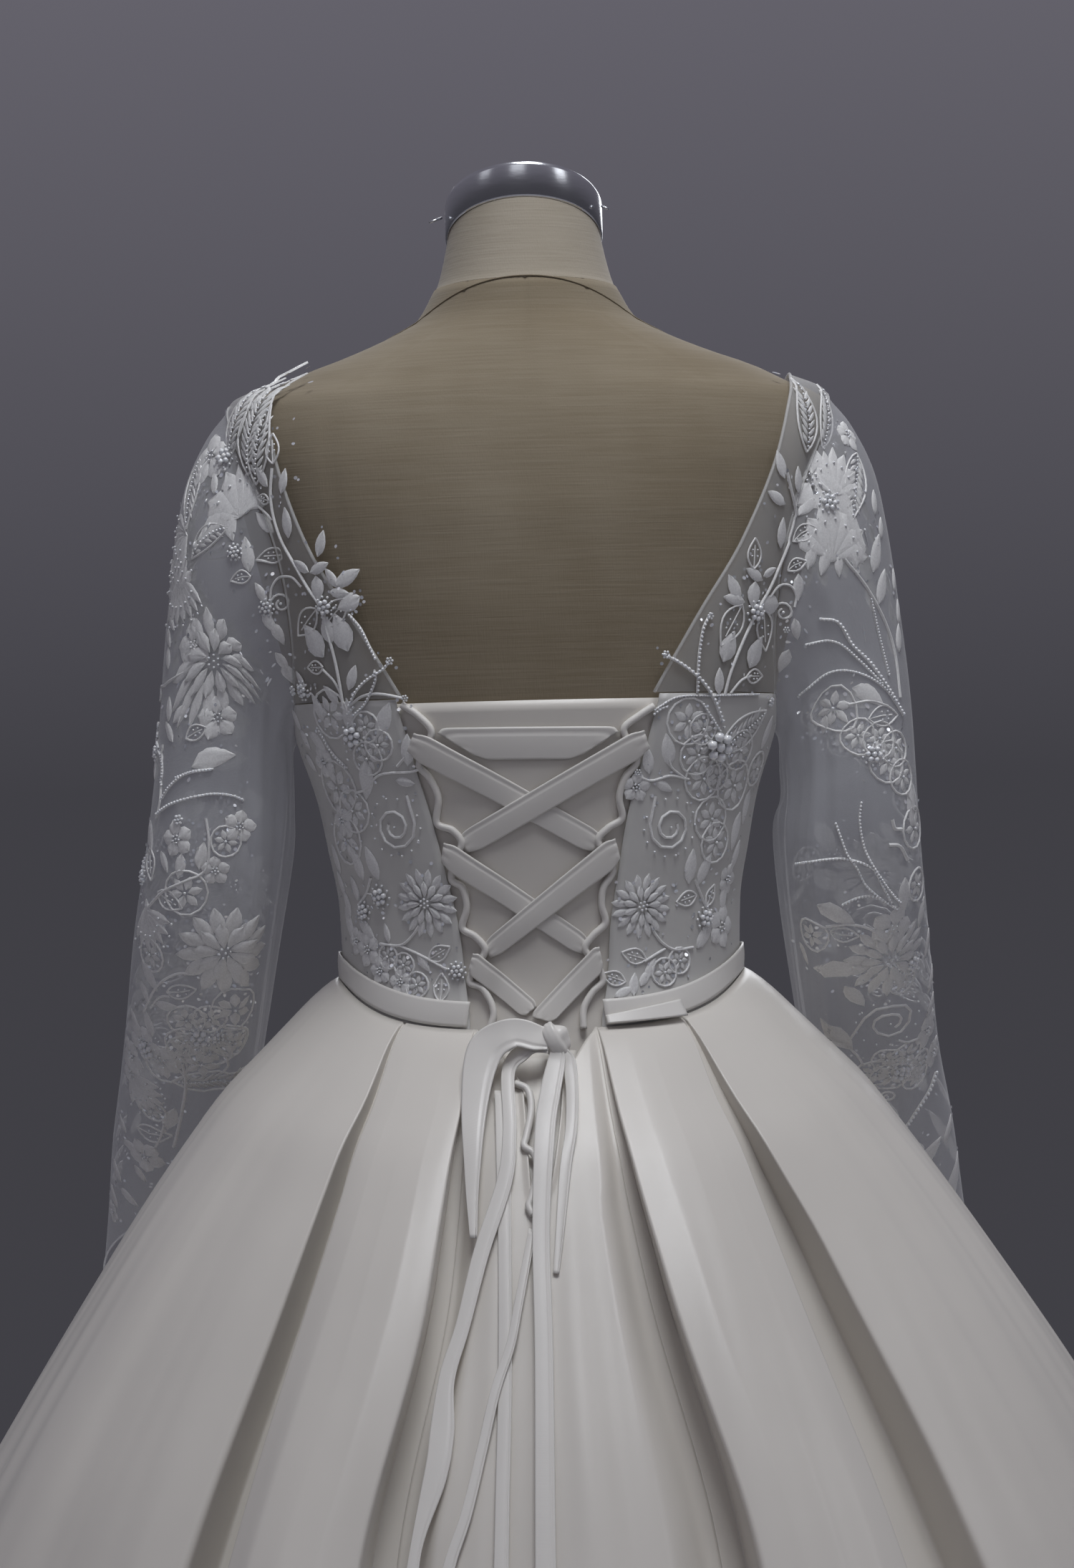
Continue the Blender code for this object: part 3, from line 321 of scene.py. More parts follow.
# %% [markdown]
# ## Materials
# Bridal satin is ivory with a broad, soft highlight, so it has a middling roughness, a little sheen and a
# weave far too fine to draw but enough to break the light. Tulle is a net, so most of it is air: it is
# drawn as a mix of cloth and nothing, closed up a little where threads cross. Thread, beads and sequins
# differ mostly in roughness: thread is matt, beads and sequins catch the studio lights as sparks.

# %% A helper for materials
def shader_of(material):
    return material.node_tree.nodes["Principled BSDF"]


def new_material(name, colour, roughness, metallic=0.0, **more):
    """A Principled material; more names sockets by their words with underscores."""
    material = bpy.data.materials.new(name)
    material.use_nodes = True
    shader = shader_of(material)
    shader.inputs["Base Color"].default_value = (*colour, 1.0)
    shader.inputs["Roughness"].default_value = roughness
    shader.inputs["Metallic"].default_value = metallic
    for word, value in more.items():
        shader.inputs[word.replace("_", " ")].default_value = value
    material.diffuse_color = (*colour, 1.0)
    return material


def node(material, kind, **settings):
    made = material.node_tree.nodes.new(kind)
    for word, value in settings.items():
        setattr(made, word, value)
    return made


def join(material, start, end):
    material.node_tree.links.new(start, end)


def place_of(material, scale, source="Object"):
    """The piece's own coordinates, stretched by scale."""
    where = node(material, "ShaderNodeTexCoord")
    mapping = node(material, "ShaderNodeMapping")
    mapping.inputs["Scale"].default_value = scale
    join(material, where.outputs[source], mapping.inputs["Vector"])
    return mapping.outputs["Vector"]


def noise_at(material, scale, detail=3.0):
    texture = node(material, "ShaderNodeTexNoise")
    texture.inputs["Scale"].default_value = 1.0
    texture.inputs["Detail"].default_value = detail
    join(material, place_of(material, scale), texture.inputs["Vector"])
    return texture.outputs["Fac"]


def tint_between(material, value, low, high, colours):
    """Colours the piece between two colours as value goes from low to high."""
    ramp = node(material, "ShaderNodeValToRGB")
    ramp.color_ramp.elements[0].position = low
    ramp.color_ramp.elements[1].position = high
    ramp.color_ramp.elements[0].color = (*colours[0], 1.0)
    ramp.color_ramp.elements[1].color = (*colours[1], 1.0)
    join(material, value, ramp.inputs["Fac"])
    join(material, ramp.outputs["Color"], shader_of(material).inputs["Base Color"])


def bump_from(material, heights, strength, distance):
    """Bump from one height or the sum of several."""
    total = heights[0]
    for other in heights[1:]:
        add = node(material, "ShaderNodeMath", operation="ADD")
        join(material, total, add.inputs[0])
        join(material, other, add.inputs[1])
        total = add.outputs[0]
    bump = node(material, "ShaderNodeBump")
    bump.inputs["Strength"].default_value = strength
    bump.inputs["Distance"].default_value = distance
    join(material, total, bump.inputs["Height"])
    join(material, bump.outputs["Normal"], shader_of(material).inputs["Normal"])


def waves_at(material, scale, direction, distortion=0.0, source="Object"):
    texture = node(material, "ShaderNodeTexWave", bands_direction=direction)
    texture.inputs["Scale"].default_value = 1.0
    texture.inputs["Distortion"].default_value = distortion
    texture.inputs["Detail"].default_value = 2.0
    join(material, place_of(material, scale, source), texture.inputs["Vector"])
    return texture.outputs["Fac"]


# %% Linen, chrome and iron
def linen_like(name, tints):
    cloth = new_material(name, (0.50, 0.44, 0.34), 0.9, Sheen_Weight=0.15)
    slubs = noise_at(cloth, (26, 26, 900), 4.0)
    threads = noise_at(cloth, (1500, 1500, 120), 2.0)
    stains = noise_at(cloth, (9, 9, 7), 3.0)
    blend = node(cloth, "ShaderNodeMath", operation="MULTIPLY_ADD")
    blend.inputs[1].default_value = 0.45
    join(cloth, slubs, blend.inputs[0])
    join(cloth, stains, blend.inputs[2])
    tint_between(cloth, blend.outputs[0], 0.55, 0.95, tints)
    bump_from(cloth, [slubs, threads], 0.35, 0.0004)
    return cloth


linen = linen_like("linen", ((0.218, 0.176, 0.115), (0.290, 0.246, 0.176)))
# The neck's linen is the same cloth in a lighter tint: painted light, standing in for the brighter light
# that falls on the neck.
neck_linen_painted_lit = linen_like("neck_linen_painted_lit", ((0.360, 0.316, 0.245), (0.450, 0.400, 0.325)))

chrome = new_material("chrome", (0.74, 0.75, 0.78), 0.20, 1.0)
scuffs = noise_at(chrome, (60, 60, 240), 4.0)
bump_from(chrome, [scuffs], 0.10, 0.0006)

iron = new_material("iron", (0.10, 0.10, 0.11), 0.42, 0.6)
bump_from(iron, [noise_at(iron, (400, 400, 400), 3.0)], 0.15, 0.0003)

# %% Satin
def satin_like(name, colour, roughness, sheen):
    """Satin: broad highlight, slight sheen, and a weave that only breaks the light."""
    material = new_material(name, colour, roughness, Sheen_Weight=sheen, Sheen_Roughness=0.45,
                            Specular_IOR_Level=0.42)
    weft = waves_at(material, (900, 900, 900), "Y", 1.5, "UV")
    cloudy = noise_at(material, (7, 7, 7), 4.0)
    darker = tuple(c * 0.955 for c in colour)
    lighter = tuple(min(1.0, c * 1.02) for c in colour)
    tint_between(material, cloudy, 0.35, 0.65, (darker, lighter))
    bump_from(material, [weft, noise_at(material, (160, 160, 160), 3.0)], 0.10, 0.0003)
    return material


skirt_satin = satin_like("skirt_satin", (0.72, 0.685, 0.63), 0.27, 0.10)
bodice_satin = satin_like("bodice_satin", (0.64, 0.63, 0.605), 0.42, 0.12)
ribbon_satin = satin_like("ribbon_satin", (0.79, 0.765, 0.72), 0.30, 0.10)

# %% Tulle
def tulle_like(name, closed, colour=(0.80, 0.81, 0.84)):
    """Net: closed is the share of its area that is thread, more where the net doubles over itself."""
    material = new_material(name, colour, 0.6, Sheen_Weight=0.4, Sheen_Roughness=0.4)
    along = waves_at(material, (1300, 1300, 1300), "X", 0.4, "UV")
    across = waves_at(material, (1300, 1300, 1300), "DIAGONAL", 0.4, "UV")
    cloudy = noise_at(material, (16, 16, 5), 3.0)
    threads = node(material, "ShaderNodeMath", operation="MAXIMUM")
    join(material, along, threads.inputs[0])
    join(material, across, threads.inputs[1])
    share = node(material, "ShaderNodeMath", operation="MULTIPLY_ADD")
    share.inputs[1].default_value = 0.20
    share.inputs[2].default_value = closed - 0.19
    join(material, threads.outputs[0], share.inputs[0])
    total = node(material, "ShaderNodeMath", operation="MULTIPLY_ADD")
    total.inputs[1].default_value = 0.16
    join(material, cloudy, total.inputs[0])
    join(material, share.outputs[0], total.inputs[2])
    join(material, total.outputs[0], shader_of(material).inputs["Alpha"])
    return material


sleeve_tulle = tulle_like("sleeve_tulle", 0.31)
yoke_tulle = tulle_like("yoke_tulle", 0.34, (0.76, 0.76, 0.75))

# %% Thread, beads and sequins
thread = new_material("thread", (0.93, 0.92, 0.90), 0.34, Sheen_Weight=0.2)
stitches = waves_at(thread, (2600, 2600, 2600), "DIAGONAL", 1.0)
# One Voronoi pattern gives the stitches their hollows and also a painted shade: the thread is tinted darker
# in those hollows.
seeds_for_hollows_and_shade = node(thread, "ShaderNodeTexVoronoi")
seeds_for_hollows_and_shade.inputs["Scale"].default_value = 1.0
join(thread, place_of(thread, (950, 950, 950)), seeds_for_hollows_and_shade.inputs["Vector"])
hollows = node(thread, "ShaderNodeMath", operation="MULTIPLY")
hollows.inputs[1].default_value = -0.8
join(thread, seeds_for_hollows_and_shade.outputs["Distance"], hollows.inputs[0])
bump_from(thread, [stitches, hollows.outputs[0]], 0.35, 0.0003)
# Painted shade: the thread turns darker as the Voronoi hollows grow deeper.
tint_between(thread, seeds_for_hollows_and_shade.outputs["Distance"], 0.15, 0.75, ((0.98, 0.975, 0.96), (0.87, 0.865, 0.85)))

bead_glass = new_material("bead_glass", (0.90, 0.91, 0.93), 0.12, Specular_IOR_Level=0.9, Coat_Weight=0.8,
                          Coat_Roughness=0.05)
tint_between(bead_glass, noise_at(bead_glass, (900, 900, 900), 1.0), 0.35, 0.65,
             ((0.80, 0.83, 0.88), (0.96, 0.95, 0.93)))
sequin = new_material("sequin", (0.93, 0.94, 0.97), 0.10, 0.55, Coat_Weight=1.0, Coat_Roughness=0.03)
sequin_tints = ((0.84, 0.90, 0.98), (0.98, 0.95, 0.92))
tint_between(sequin, noise_at(sequin, (700, 700, 700), 1.0), 0.3, 0.7, sequin_tints)
print("materials:", len(bpy.data.materials))

# %% [markdown]
# ## Laying cloth
# Each panel starts as a flat grid, and every corner of the grid is then put where the garment wants it.
# The grid keeps a UV map in metres, so that a weave keeps its scale, and a solidify modifier gives the
# hem its thickness. The same helper measures the cut: the longest row and column, and the area.

# %% Helpers for cloth
LEAST_CUT = 0.01             # the least size of a sheet's cut


def add_piece(name, mesh, material):
    data = bpy.data.meshes.new(name)
    mesh.to_mesh(data)
    mesh.free()
    data.materials.append(material)
    data.shade_smooth()
    piece = bpy.data.objects.new(name, data)
    bpy.context.scene.collection.objects.link(piece)
    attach(piece, "root")
    return piece


def lay_cloth(name, columns, rows, place, material, thickness=0.0, ring=False, held="hung",
              stands_for=()):
    """A sheet of cloth: a grid whose corners place(column, row) puts, with a UV map in the size of its cut.
    """
    mesh = bmesh.new()
    mesh.loops.layers.uv.new("cut")
    bmesh.ops.create_grid(mesh, x_segments=columns, y_segments=rows, size=1.0, calc_uvs=True)
    spots = {}
    for vertex in mesh.verts:
        column = round((vertex.co.x + 1) / 2 * columns)
        row = round((1 - vertex.co.y) / 2 * rows)
        spots[column, row] = vertex.co = Vector(place(column, row))
    across = [sum((spots[c + 1, r] - spots[c, r]).length for c in range(columns)) for r in range(rows + 1)]
    down = [sum((spots[c, r + 1] - spots[c, r]).length for r in range(rows)) for c in range(columns + 1)]
    wide, long = max(across), max(down)
    for face in mesh.faces:
        for loop in face.loops:
            layer = loop[mesh.loops.layers.uv.active]
            layer.uv = (layer.uv[0] * wide, layer.uv[1] * long)
    area = min(sum(face.calc_area() for face in mesh.faces), wide * long)
    if ring:
        bmesh.ops.remove_doubles(mesh, verts=mesh.verts, dist=1e-6)
    bmesh.ops.recalc_face_normals(mesh, faces=mesh.faces)
    piece = add_piece(name, mesh, material)
    if thickness:
        wall = piece.modifiers.new("wall", "SOLIDIFY")
        wall.thickness = thickness
        wall.offset = 0.0
    if stands_for:
        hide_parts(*stands_for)
    if held:
        max(wide, LEAST_CUT)
        max(long, LEAST_CUT)
    return piece


def close_ends(piece):
    """Caps a tube's open ends."""
    mesh = bmesh.new()
    mesh.from_mesh(piece.data)
    bmesh.ops.holes_fill(mesh, edges=[edge for edge in mesh.edges if edge.is_boundary])
    bmesh.ops.recalc_face_normals(mesh, faces=mesh.faces)
    mesh.to_mesh(piece.data)
    mesh.free()


def cord_of_satin(name, lines, radius, material, sides=2, stands_for=()):
    """Thin round cords along the given lines, as one mesh."""
    data = bpy.data.curves.new(name + "_line", "CURVE")
    data.dimensions = "3D"
    data.bevel_depth = radius
    data.bevel_resolution = sides
    data.use_fill_caps = True
    for line in lines:
        spline = data.splines.new("POLY")
        spline.points.add(len(line) - 1)
        for spot, point in zip(spline.points, line):
            spot.co = (*point, 1.0)
    guide = bpy.data.objects.new(name + "_line", data)
    mesh = bmesh.new()
    mesh.from_mesh(guide.to_mesh())
    guide.to_mesh_clear()
    bpy.data.objects.remove(guide)
    bmesh.ops.remove_doubles(mesh, verts=mesh.verts, dist=1e-6)
    piece = add_piece(name, mesh, material)
    if stands_for:
        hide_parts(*stands_for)
    return piece


# %% [markdown]
# ## The dress form
# The form is a padded torso under slubby linen. Its cover is sewn from panels, so it shows thin seam
# lines at the centre back and down each shoulder blade, and a curved seam where the neck begins. The
# cover is a grid laid on the skin, with each seam pressed in by half a millimetre.

# %% The linen cover
COVER_SEAMS = [0.0, 38.0, -38.0, 92.0, -92.0, 142.0, -142.0]
COVER_AROUND, COVER_ROWS = 180, 170


def cover(column, row):
    angle = -180 + 360 * (column % COVER_AROUND) / COVER_AROUND
    z = mix(NECK_SEAM, FORM_BOTTOM, row / COVER_ROWS)
    pressed = 0.0
    for seam in COVER_SEAMS:
        away = abs((angle - seam + 180) % 360 - 180) * math.radians(1) * 0.13
        pressed += 0.5 * MM * math.exp(-(away / (1.3 * MM)) ** 2)
    return over(angle, max(z, FORM_BOTTOM + 0.0002), -pressed)


torso = lay_cloth("form_cover", COVER_AROUND, COVER_ROWS, cover, linen, ring=True, held=None,
                  stands_for=["form_torso"])
close_ends(torso)

# %% The neck, its cap and the stand
def turned_oval(name, rings, material, stands_for, around=96):
    """A closed body from ovals: each ring gives side, back, front and height at a depth y."""
    def place(column, row):
        side, back, front, height = rings[row]
        turn = 2 * math.pi * (column % around) / around
        y = -math.cos(turn) * (back if math.cos(turn) > 0 else front)
        return side * math.sin(turn), y, height(y)

    piece = lay_cloth(name, around, len(rings) - 1, place, material, ring=True, held=None,
                      stands_for=stands_for)
    close_ends(piece)
    piece.data.shade_smooth()
    piece.data.set_sharp_from_angle(angle=math.radians(40))


NECK_TILT = 0.40
neck_rings = []
for step in range(25):
    share = step / 24
    side = mix(0.0512, 0.0432, share ** 0.75)
    back = mix(0.0568, 0.0440, share ** 0.8)
    front = mix(0.0452, 0.0430, share)
    foot = mix(NECK_SEAM + 0.0003, 1.4465, share)
    tilt = NECK_TILT * share ** 1.2
    neck_rings.append((side, back, front, lambda y, foot=foot, tilt=tilt: foot - tilt * y))
# The neck cover takes the lighter linen: painted light for the neck's brighter lighting.
turned_oval("form_neck_cover", list(reversed(neck_rings)), neck_linen_painted_lit, ["form_neck"])

CAP_PROFILE = [(0.0438, 0.0), (0.0443, 0.0006), (0.0446, 0.0014), (0.0446, 0.0170), (0.0444, 0.0184),
               (0.0436, 0.0196), (0.0420, 0.0203), (0.0385, 0.0207), (0.0375, 0.0200), (0.0360, 0.0196)]
cap_rings = [(radius, radius, radius, lambda y, h=height: 1.4469 + h - NECK_TILT * y)
             for radius, height in reversed(CAP_PROFILE)]
turned_oval("neck_cap", cap_rings, chrome, ["form_neck_cap"])

for name in ("form_base", "form_pole"):
    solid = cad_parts[name]
    solid.material_slots[0].material = iron
    print(name, "height", round(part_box(name)[1][2], 3))

# %% Pins and the neck seam
pins = [[Vector((-0.0462, -0.0100, 1.4590)), Vector((-0.0530, -0.0140, 1.4560))],
        [Vector((0.0440, -0.0190, 1.4620)), Vector((0.0475, -0.0215, 1.4600))]]
cord_of_satin("cap_pins", pins, 0.0007, chrome)


def seam_z(angle):
    """The neck seam's height: it rises over the nape and drops to the shoulders."""
    return 1.4185 - 0.030 * (1 - math.cos(math.radians(angle))) ** 1.1


neck_seam = [over(a, seam_z(a), 0.25 * MM) for a in range(-88, 89, 4)]
cord_of_satin("neck_seam_line", [neck_seam], 0.00045, linen)

# %% [markdown]
# ## Bodice and modesty panel
# The two back pieces are lined satin, stiff with boning, and end in a line beside the lacing. Behind the
# lacing lies a satin panel with a fold at its top, so that no skin shows. The front is one shaped piece
# with a sweetheart edge: the photograph doesn't show it, and it is finished plainly.

# %% Modesty panel
MODESTY_CELLS = 40


def modesty(column, row):
    drop = row / MODESTY_CELLS
    z = mix(1.1833, 0.952, drop)
    left = opening_angle(-1, z, beyond=0.012)
    right = opening_angle(1, z, beyond=0.012)
    share = column / MODESTY_CELLS
    fold = 0.5 * MM * math.exp(-((z - 1.1560) / 0.0016) ** 2)
    crease = 0.35 * MM * math.sin(share * 9 + drop * 14) * math.sin(share * math.pi) * drop
    return over(mix(left, right, share), z, LIFT_MODESTY - fold + crease)


lay_cloth("modesty_cloth", MODESTY_CELLS, MODESTY_CELLS, modesty, skirt_satin, 0.9 * MM, held="stretched",
          stands_for=["modesty_panel"])

# %% Bodice backs and front
BACK_COLUMNS, BACK_ROWS = 36, 48
BACK_CORNER = abs(angle_at_depth(arm_oval(180 + ARM_BACK_FOOT)[0], LINING_TOP, 1))


def back_piece(side):
    def place(column, row):
        drop = row / BACK_ROWS
        z = mix(1.18, 1.01, drop)
        for _ in range(4):
            edge = abs(opening_angle(side, z, beyond=0.0030))
            share = column / BACK_COLUMNS
            if share <= 0.6:
                angle = mix(edge, BACK_CORNER, share / 0.6)
            else:
                angle = mix(BACK_CORNER, 89.9, (share - 0.6) / 0.4)
            z = mix(bodice_top(angle), bodice_bottom(angle), drop)
        boning = 0.35 * MM * math.exp(-((share - 0.07) / 0.018) ** 2)
        return over(side * angle, z, LIFT_BODICE + boning)
    return place


for side, word in ((-1, "left"), (1, "right")):
    lay_cloth("bodice_back_cloth_" + word, BACK_COLUMNS, BACK_ROWS, back_piece(side), bodice_satin,
              1.2 * MM, held="stretched", stands_for=["bodice_back_" + word])

half = [mix(90.09, FRONT_FOOT_ANGLE, k / 14) for k in range(15)]
half += [mix(FRONT_FOOT_ANGLE, FRONT_PEAK_ANGLE, k / 12) for k in range(1, 13)]
half += [mix(FRONT_PEAK_ANGLE, 180, k / 14) for k in range(1, 15)]
FRONT_ANGLES = half + [360 - angle for angle in reversed(half[:-1])]


def front_piece(column, row):
    angle = FRONT_ANGLES[column]
    folded = angle if angle <= 180 else 360 - angle
    z = mix(bodice_top(folded), bodice_bottom(folded), row / BACK_ROWS)
    return over(angle, z, LIFT_BODICE)


lay_cloth("bodice_front_cloth", len(FRONT_ANGLES) - 1, BACK_ROWS, front_piece, bodice_satin, 1.2 * MM,
          held="stretched", stands_for=["bodice_front"])

# %% [markdown]
# ## The sheer yoke
# Above the lining only one layer of tulle is left. It runs from the lining's top edge over the shoulder,
# and its neck edge is turned in and stitched, which shows as a fine pale line.

# %% Yokes and their neck edge
def yoke_piece(side):
    """The yoke's places: columns from the neck to the armhole, rows from the back to the front."""
    back_half = curve_through(NECK_BACK, "z", "half")
    back_middle = curve_through(NECK_BACK, "z", "middle")
    front_half = curve_through(NECK_FRONT, "z", "half")
    top = NECK_BACK[-1].z
    step = 2 * SEAM

    def place(column, row):
        turn = mix(YOKE_TURNS[0], YOKE_TURNS[-1], row / YOKE_ROWS)
        share = column / YOKE_COLUMNS
        y, arm_z = arm_oval(turn, SEAM)
        if turn <= 0:
            along = 1 - turn / YOKE_TURNS[0]
            z = mix(LINING_TOP + step, top, math.sin(along * math.pi / 2) ** 1.1)
            neck = angle_at(side * back_half(z) + back_middle(z), z)
            arm_z = max(arm_z, LINING_TOP + step)
        else:
            along = turn / ARM_FRONT_FOOT
            z = mix(top, NECK_FRONT[0].z + step, 1 - math.cos(along * math.pi / 2))
            neck = angle_at(side * front_half(z), z, front=True)
        angle = mix(neck, angle_at_depth(y, arm_z, side), share)
        z = mix(z, arm_z, share)
        if row == YOKE_ROWS:
            z = bodice_top(angle) + step
        return over(angle, z, LIFT_BODICE)
    return place


YOKE_COLUMNS, YOKE_ROWS = 16, 72

for side, word in ((-1, "left"), (1, "right")):
    place = yoke_piece(side)
    lay_cloth("yoke_net_" + word, YOKE_COLUMNS, YOKE_ROWS, place, yoke_tulle, held="stretched",
              stands_for=["yoke_" + word])
    edge = [place(0, row) for row in range(YOKE_ROWS + 1)]
    seam = [place(YOKE_COLUMNS, row) for row in range(YOKE_ROWS + 1)]
    cord_of_satin("yoke_edge_" + word, [edge], 0.0009, yoke_tulle)
    cord_of_satin("armhole_seam_" + word, [seam], 0.0007, yoke_tulle)

# %% [markdown]
# ## The sleeves
# A long sleeve of one layer of tulle is a soft tube. Its rings start on the armhole's oval, swing out
# over the shoulder, and then follow the arm down and forward to the cuff on the skirt. The cloth that
# isn't stiffened by embroidery, on the inner side, hangs in fine lengthwise folds.

# %% Sleeve rings
Ring = namedtuple("Ring", "x_out z_out x_in z_in y half share")
SLEEVE_CAP = [
    Ring(0.1755, 1.347, 0.1368, 1.1640, 0.0030, 0.0600, 0.45),
    Ring(0.1865, 1.333, 0.1376, 1.1615, 0.0035, 0.0560, 0.80),
    Ring(0.1955, 1.311, 0.1382, 1.1580, 0.0040, 0.0520, 1.0),
    Ring(0.2030, 1.275, 0.1386, 1.1520, 0.0050, 0.0480, 1.0),
    Ring(0.2090, 1.228, 0.1388, 1.1430, 0.0060, 0.0440, 1.0),
    Ring(0.2140, 1.175, 0.1390, 1.1270, 0.0065, 0.0420, 1.0),
]
Reach = namedtuple("Reach", "z x y")
SLEEVE_LEFT = [
    Reach(1.110, 0.1815, 0.0075), Reach(1.060, 0.1910, 0.0220), Reach(1.012, 0.2010, 0.0600),
    Reach(0.968, 0.2125, 0.1110), Reach(0.926, 0.2225, 0.1520), Reach(0.884, 0.2305, 0.1890),
    Reach(0.836, 0.2403, 0.2295),
]
SLEEVE_RIGHT = [
    Reach(1.110, 0.1765, 0.0085), Reach(1.060, 0.1815, 0.0320), Reach(1.012, 0.1900, 0.0840),
    Reach(0.968, 0.1995, 0.1360), Reach(0.926, 0.2095, 0.1730), Reach(0.884, 0.2180, 0.2060),
    Reach(0.836, 0.2278, 0.2420),
]
SLEEVE_RADIUS = 0.0410
TULLE_FOLD = 0.0022          # soft lengthwise folds on the sleeve's inner back


def sleeve_rings(side, reaches):
    """Each ring as a function of the turn from its outer point towards the front, in degrees."""
    def arm_ring(turn):
        y, z = arm_oval(turn, -1.2 * MM)
        return over(angle_at_depth(y, z, side), z, LIFT_BODICE)

    def plane_ring(outer, inner, half):
        middle = (outer + inner) / 2
        reach = (outer - inner) / 2

        def point(turn):
            t = math.radians(turn)
            return middle + (reach * math.cos(t) + Vector((0, half * math.sin(t), 0)))
        return point

    rings = [arm_ring]
    for row in SLEEVE_CAP:
        outer = Vector((side * row.x_out, row.y, row.z_out))
        inner = Vector((side * row.x_in, row.y, row.z_in))
        flat = plane_ring(outer, inner, row.half)
        rings.append(lambda turn, flat=flat, share=row.share: arm_ring(turn).lerp(flat(turn), share))
    centres = [Vector((side * row.x, row.y, row.z)) for row in reaches]
    for k, centre in enumerate(centres):
        before, after = centres[max(0, k - 1)], centres[min(len(centres) - 1, k + 1)]
        run = (after - before).normalized()
        out = Vector((side, 0, 0))
        out = (out - run * out.dot(run)).normalized()
        forward = out.cross(run) * side

        def tube(turn, centre=centre, out=out, forward=forward):
            t = math.radians(turn)
            fold = 1 + (TULLE_FOLD / SLEEVE_RADIUS) * math.sin(5 * t) * max(0.0, -math.sin(t + 0.6))
            return centre + (out * math.cos(t) + forward * math.sin(t)) * SLEEVE_RADIUS * fold
        rings.append(tube)
    return rings


AROUND, STEPS_DOWN = 96, 8


def sleeve_grid(side, reaches):
    """Every point of the sleeve, by turn from its outer line and by step down from the armhole."""
    rings = sleeve_rings(side, reaches)
    turns = [360 * k / AROUND for k in range(AROUND)]
    rough = [[ring(turn) for turn in turns] for ring in rings]
    rows = []
    columns = [rounded([row[k] for row in rough], STEPS_DOWN) for k in range(AROUND)]
    for r in range(len(columns[0])):
        rows.append([columns[k][r] for k in range(AROUND)])
    for r, row in enumerate(rows):
        centre = sum(row, Vector()) / AROUND
        share = r / (len(rows) - 1)
        for k in range(AROUND):
            turn = math.radians(turns[k])
            inner = max(0.0, math.cos(turn - math.radians(205)))
            calm = min(1.0, share * 5)
            folds = math.sin(13 * turn + 5 * math.sin(3.1 * share)) + 0.6 * math.sin(22 * turn - 4 * share)
            sag = math.sin(9 * math.pi * share + 2.0 * math.cos(turn)) * 0.4 * min(1.0, share * 2)
            push = (0.0013 * inner * folds + 0.0009 * sag) * calm
            row[k] = row[k] + (row[k] - centre).normalized() * push
    return rows


SLEEVES = {-1: sleeve_grid(-1, SLEEVE_LEFT), 1: sleeve_grid(1, SLEEVE_RIGHT)}
for side, word in ((-1, "left"), (1, "right")):
    rows = SLEEVES[side]
    lay_cloth("sleeve_net_" + word, AROUND, len(rows) - 1, lambda c, r, rows=rows: rows[r][c % AROUND],
              sleeve_tulle, ring=True, held="hung",
              stands_for=["sleeve_" + word])
    hem = [rows[-1][k % AROUND] for k in range(AROUND + 1)]
    cord_of_satin("cuff_edge_" + word, [hem], 0.0007, yoke_tulle)

# %% [markdown]
# ## The skirt
# A box-pleated skirt is flat cloth folded into pleats at the waist and let go below. Each panel here is
# one pleat's crown with half a valley on each side. Its section is a folded line at the waist that opens
# into a round fold on the way down, so the section's corners are cut off again and again, which rounds
# each fold as widely as the panel there allows.

# %% The skirt's shape
Flare = namedtuple("Flare", "drop out valley recess crown")
FLARE = [
    Flare(0.000, 0.000, 0.0022, 0.0016, 0.0003), Flare(0.0115, 0.014, 0.0055, 0.0040, 0.0006),
    Flare(0.0265, 0.030, 0.0095, 0.0070, 0.0012), Flare(0.0405, 0.045, 0.0140, 0.0100, 0.0020),
    Flare(0.0615, 0.067, 0.0210, 0.0140, 0.0030), Flare(0.0855, 0.087, 0.0290, 0.0180, 0.0045),
    Flare(0.1125, 0.108, 0.0360, 0.0220, 0.0060), Flare(0.1545, 0.138, 0.0440, 0.0260, 0.0080),
    Flare(0.2265, 0.186, 0.0530, 0.0300, 0.0100), Flare(0.3300, 0.247, 0.0610, 0.0330, 0.0120),
    Flare(0.5300, 0.365, 0.0690, 0.0360, 0.0150), Flare(0.7300, 0.473, 0.0740, 0.0380, 0.0180),
    Flare(1.0400, 0.632, 0.0800, 0.0400, 0.0220),
]

# The skirt's pleat valleys, one row each: the angles of the two folds at five drops
Valley = namedtuple("Valley", "name waist high middle low hem")
VALLEY_DROPS = [0.0, 0.045, 0.12, 0.25, 1.0]
VALLEYS = [
    Valley("back_left", (-17.9, -16.7), (-15.6, -14.3), (-15.2, -13.6), (-18.0, -16.2), (-18.5, -16.5)),
    Valley("back_right", (13.0, 14.2), (12.2, 13.6), (13.2, 15.0), (16.6, 18.6), (17.0, 19.2)),
    Valley("hip_left", (-39.4, -38.0), (-36.2, -33.2), (-35.6, -31.2), (-36.3, -31.2), (-37.0, -31.0)),
    Valley("hip_right", (38.0, 39.4), (33.4, 38.2), (32.2, 40.6), (32.9, 42.6), (33.0, 43.5)),
    Valley("side_left", (-92.7, -91.3), (-93.2, -90.8), (-94.0, -90.0), (-94.6, -89.4), (-95.0, -89.0)),
    Valley("side_right", (91.3, 92.7), (90.8, 93.2), (90.0, 94.0), (89.4, 94.6), (89.0, 95.0)),
    Valley("hip_front_left", (-141.7, -140.3), (-142.2, -139.8), (-143.0, -139.0), (-143.6, -138.4),
           (-144.0, -138.0)),
    Valley("hip_front_right", (140.3, 141.7), (139.8, 142.2), (139.0, 143.0), (138.4, 143.6),
           (138.0, 144.0)),
    Valley("front_left", (-164.7, -163.3), (-165.0, -163.0), (-165.4, -162.6), (-165.8, -162.2),
           (-166.0, -162.0)),
    Valley("front_right", (163.3, 164.7), (163.0, 165.0), (162.6, 165.4), (162.2, 165.8), (162.0, 166.0)),
]

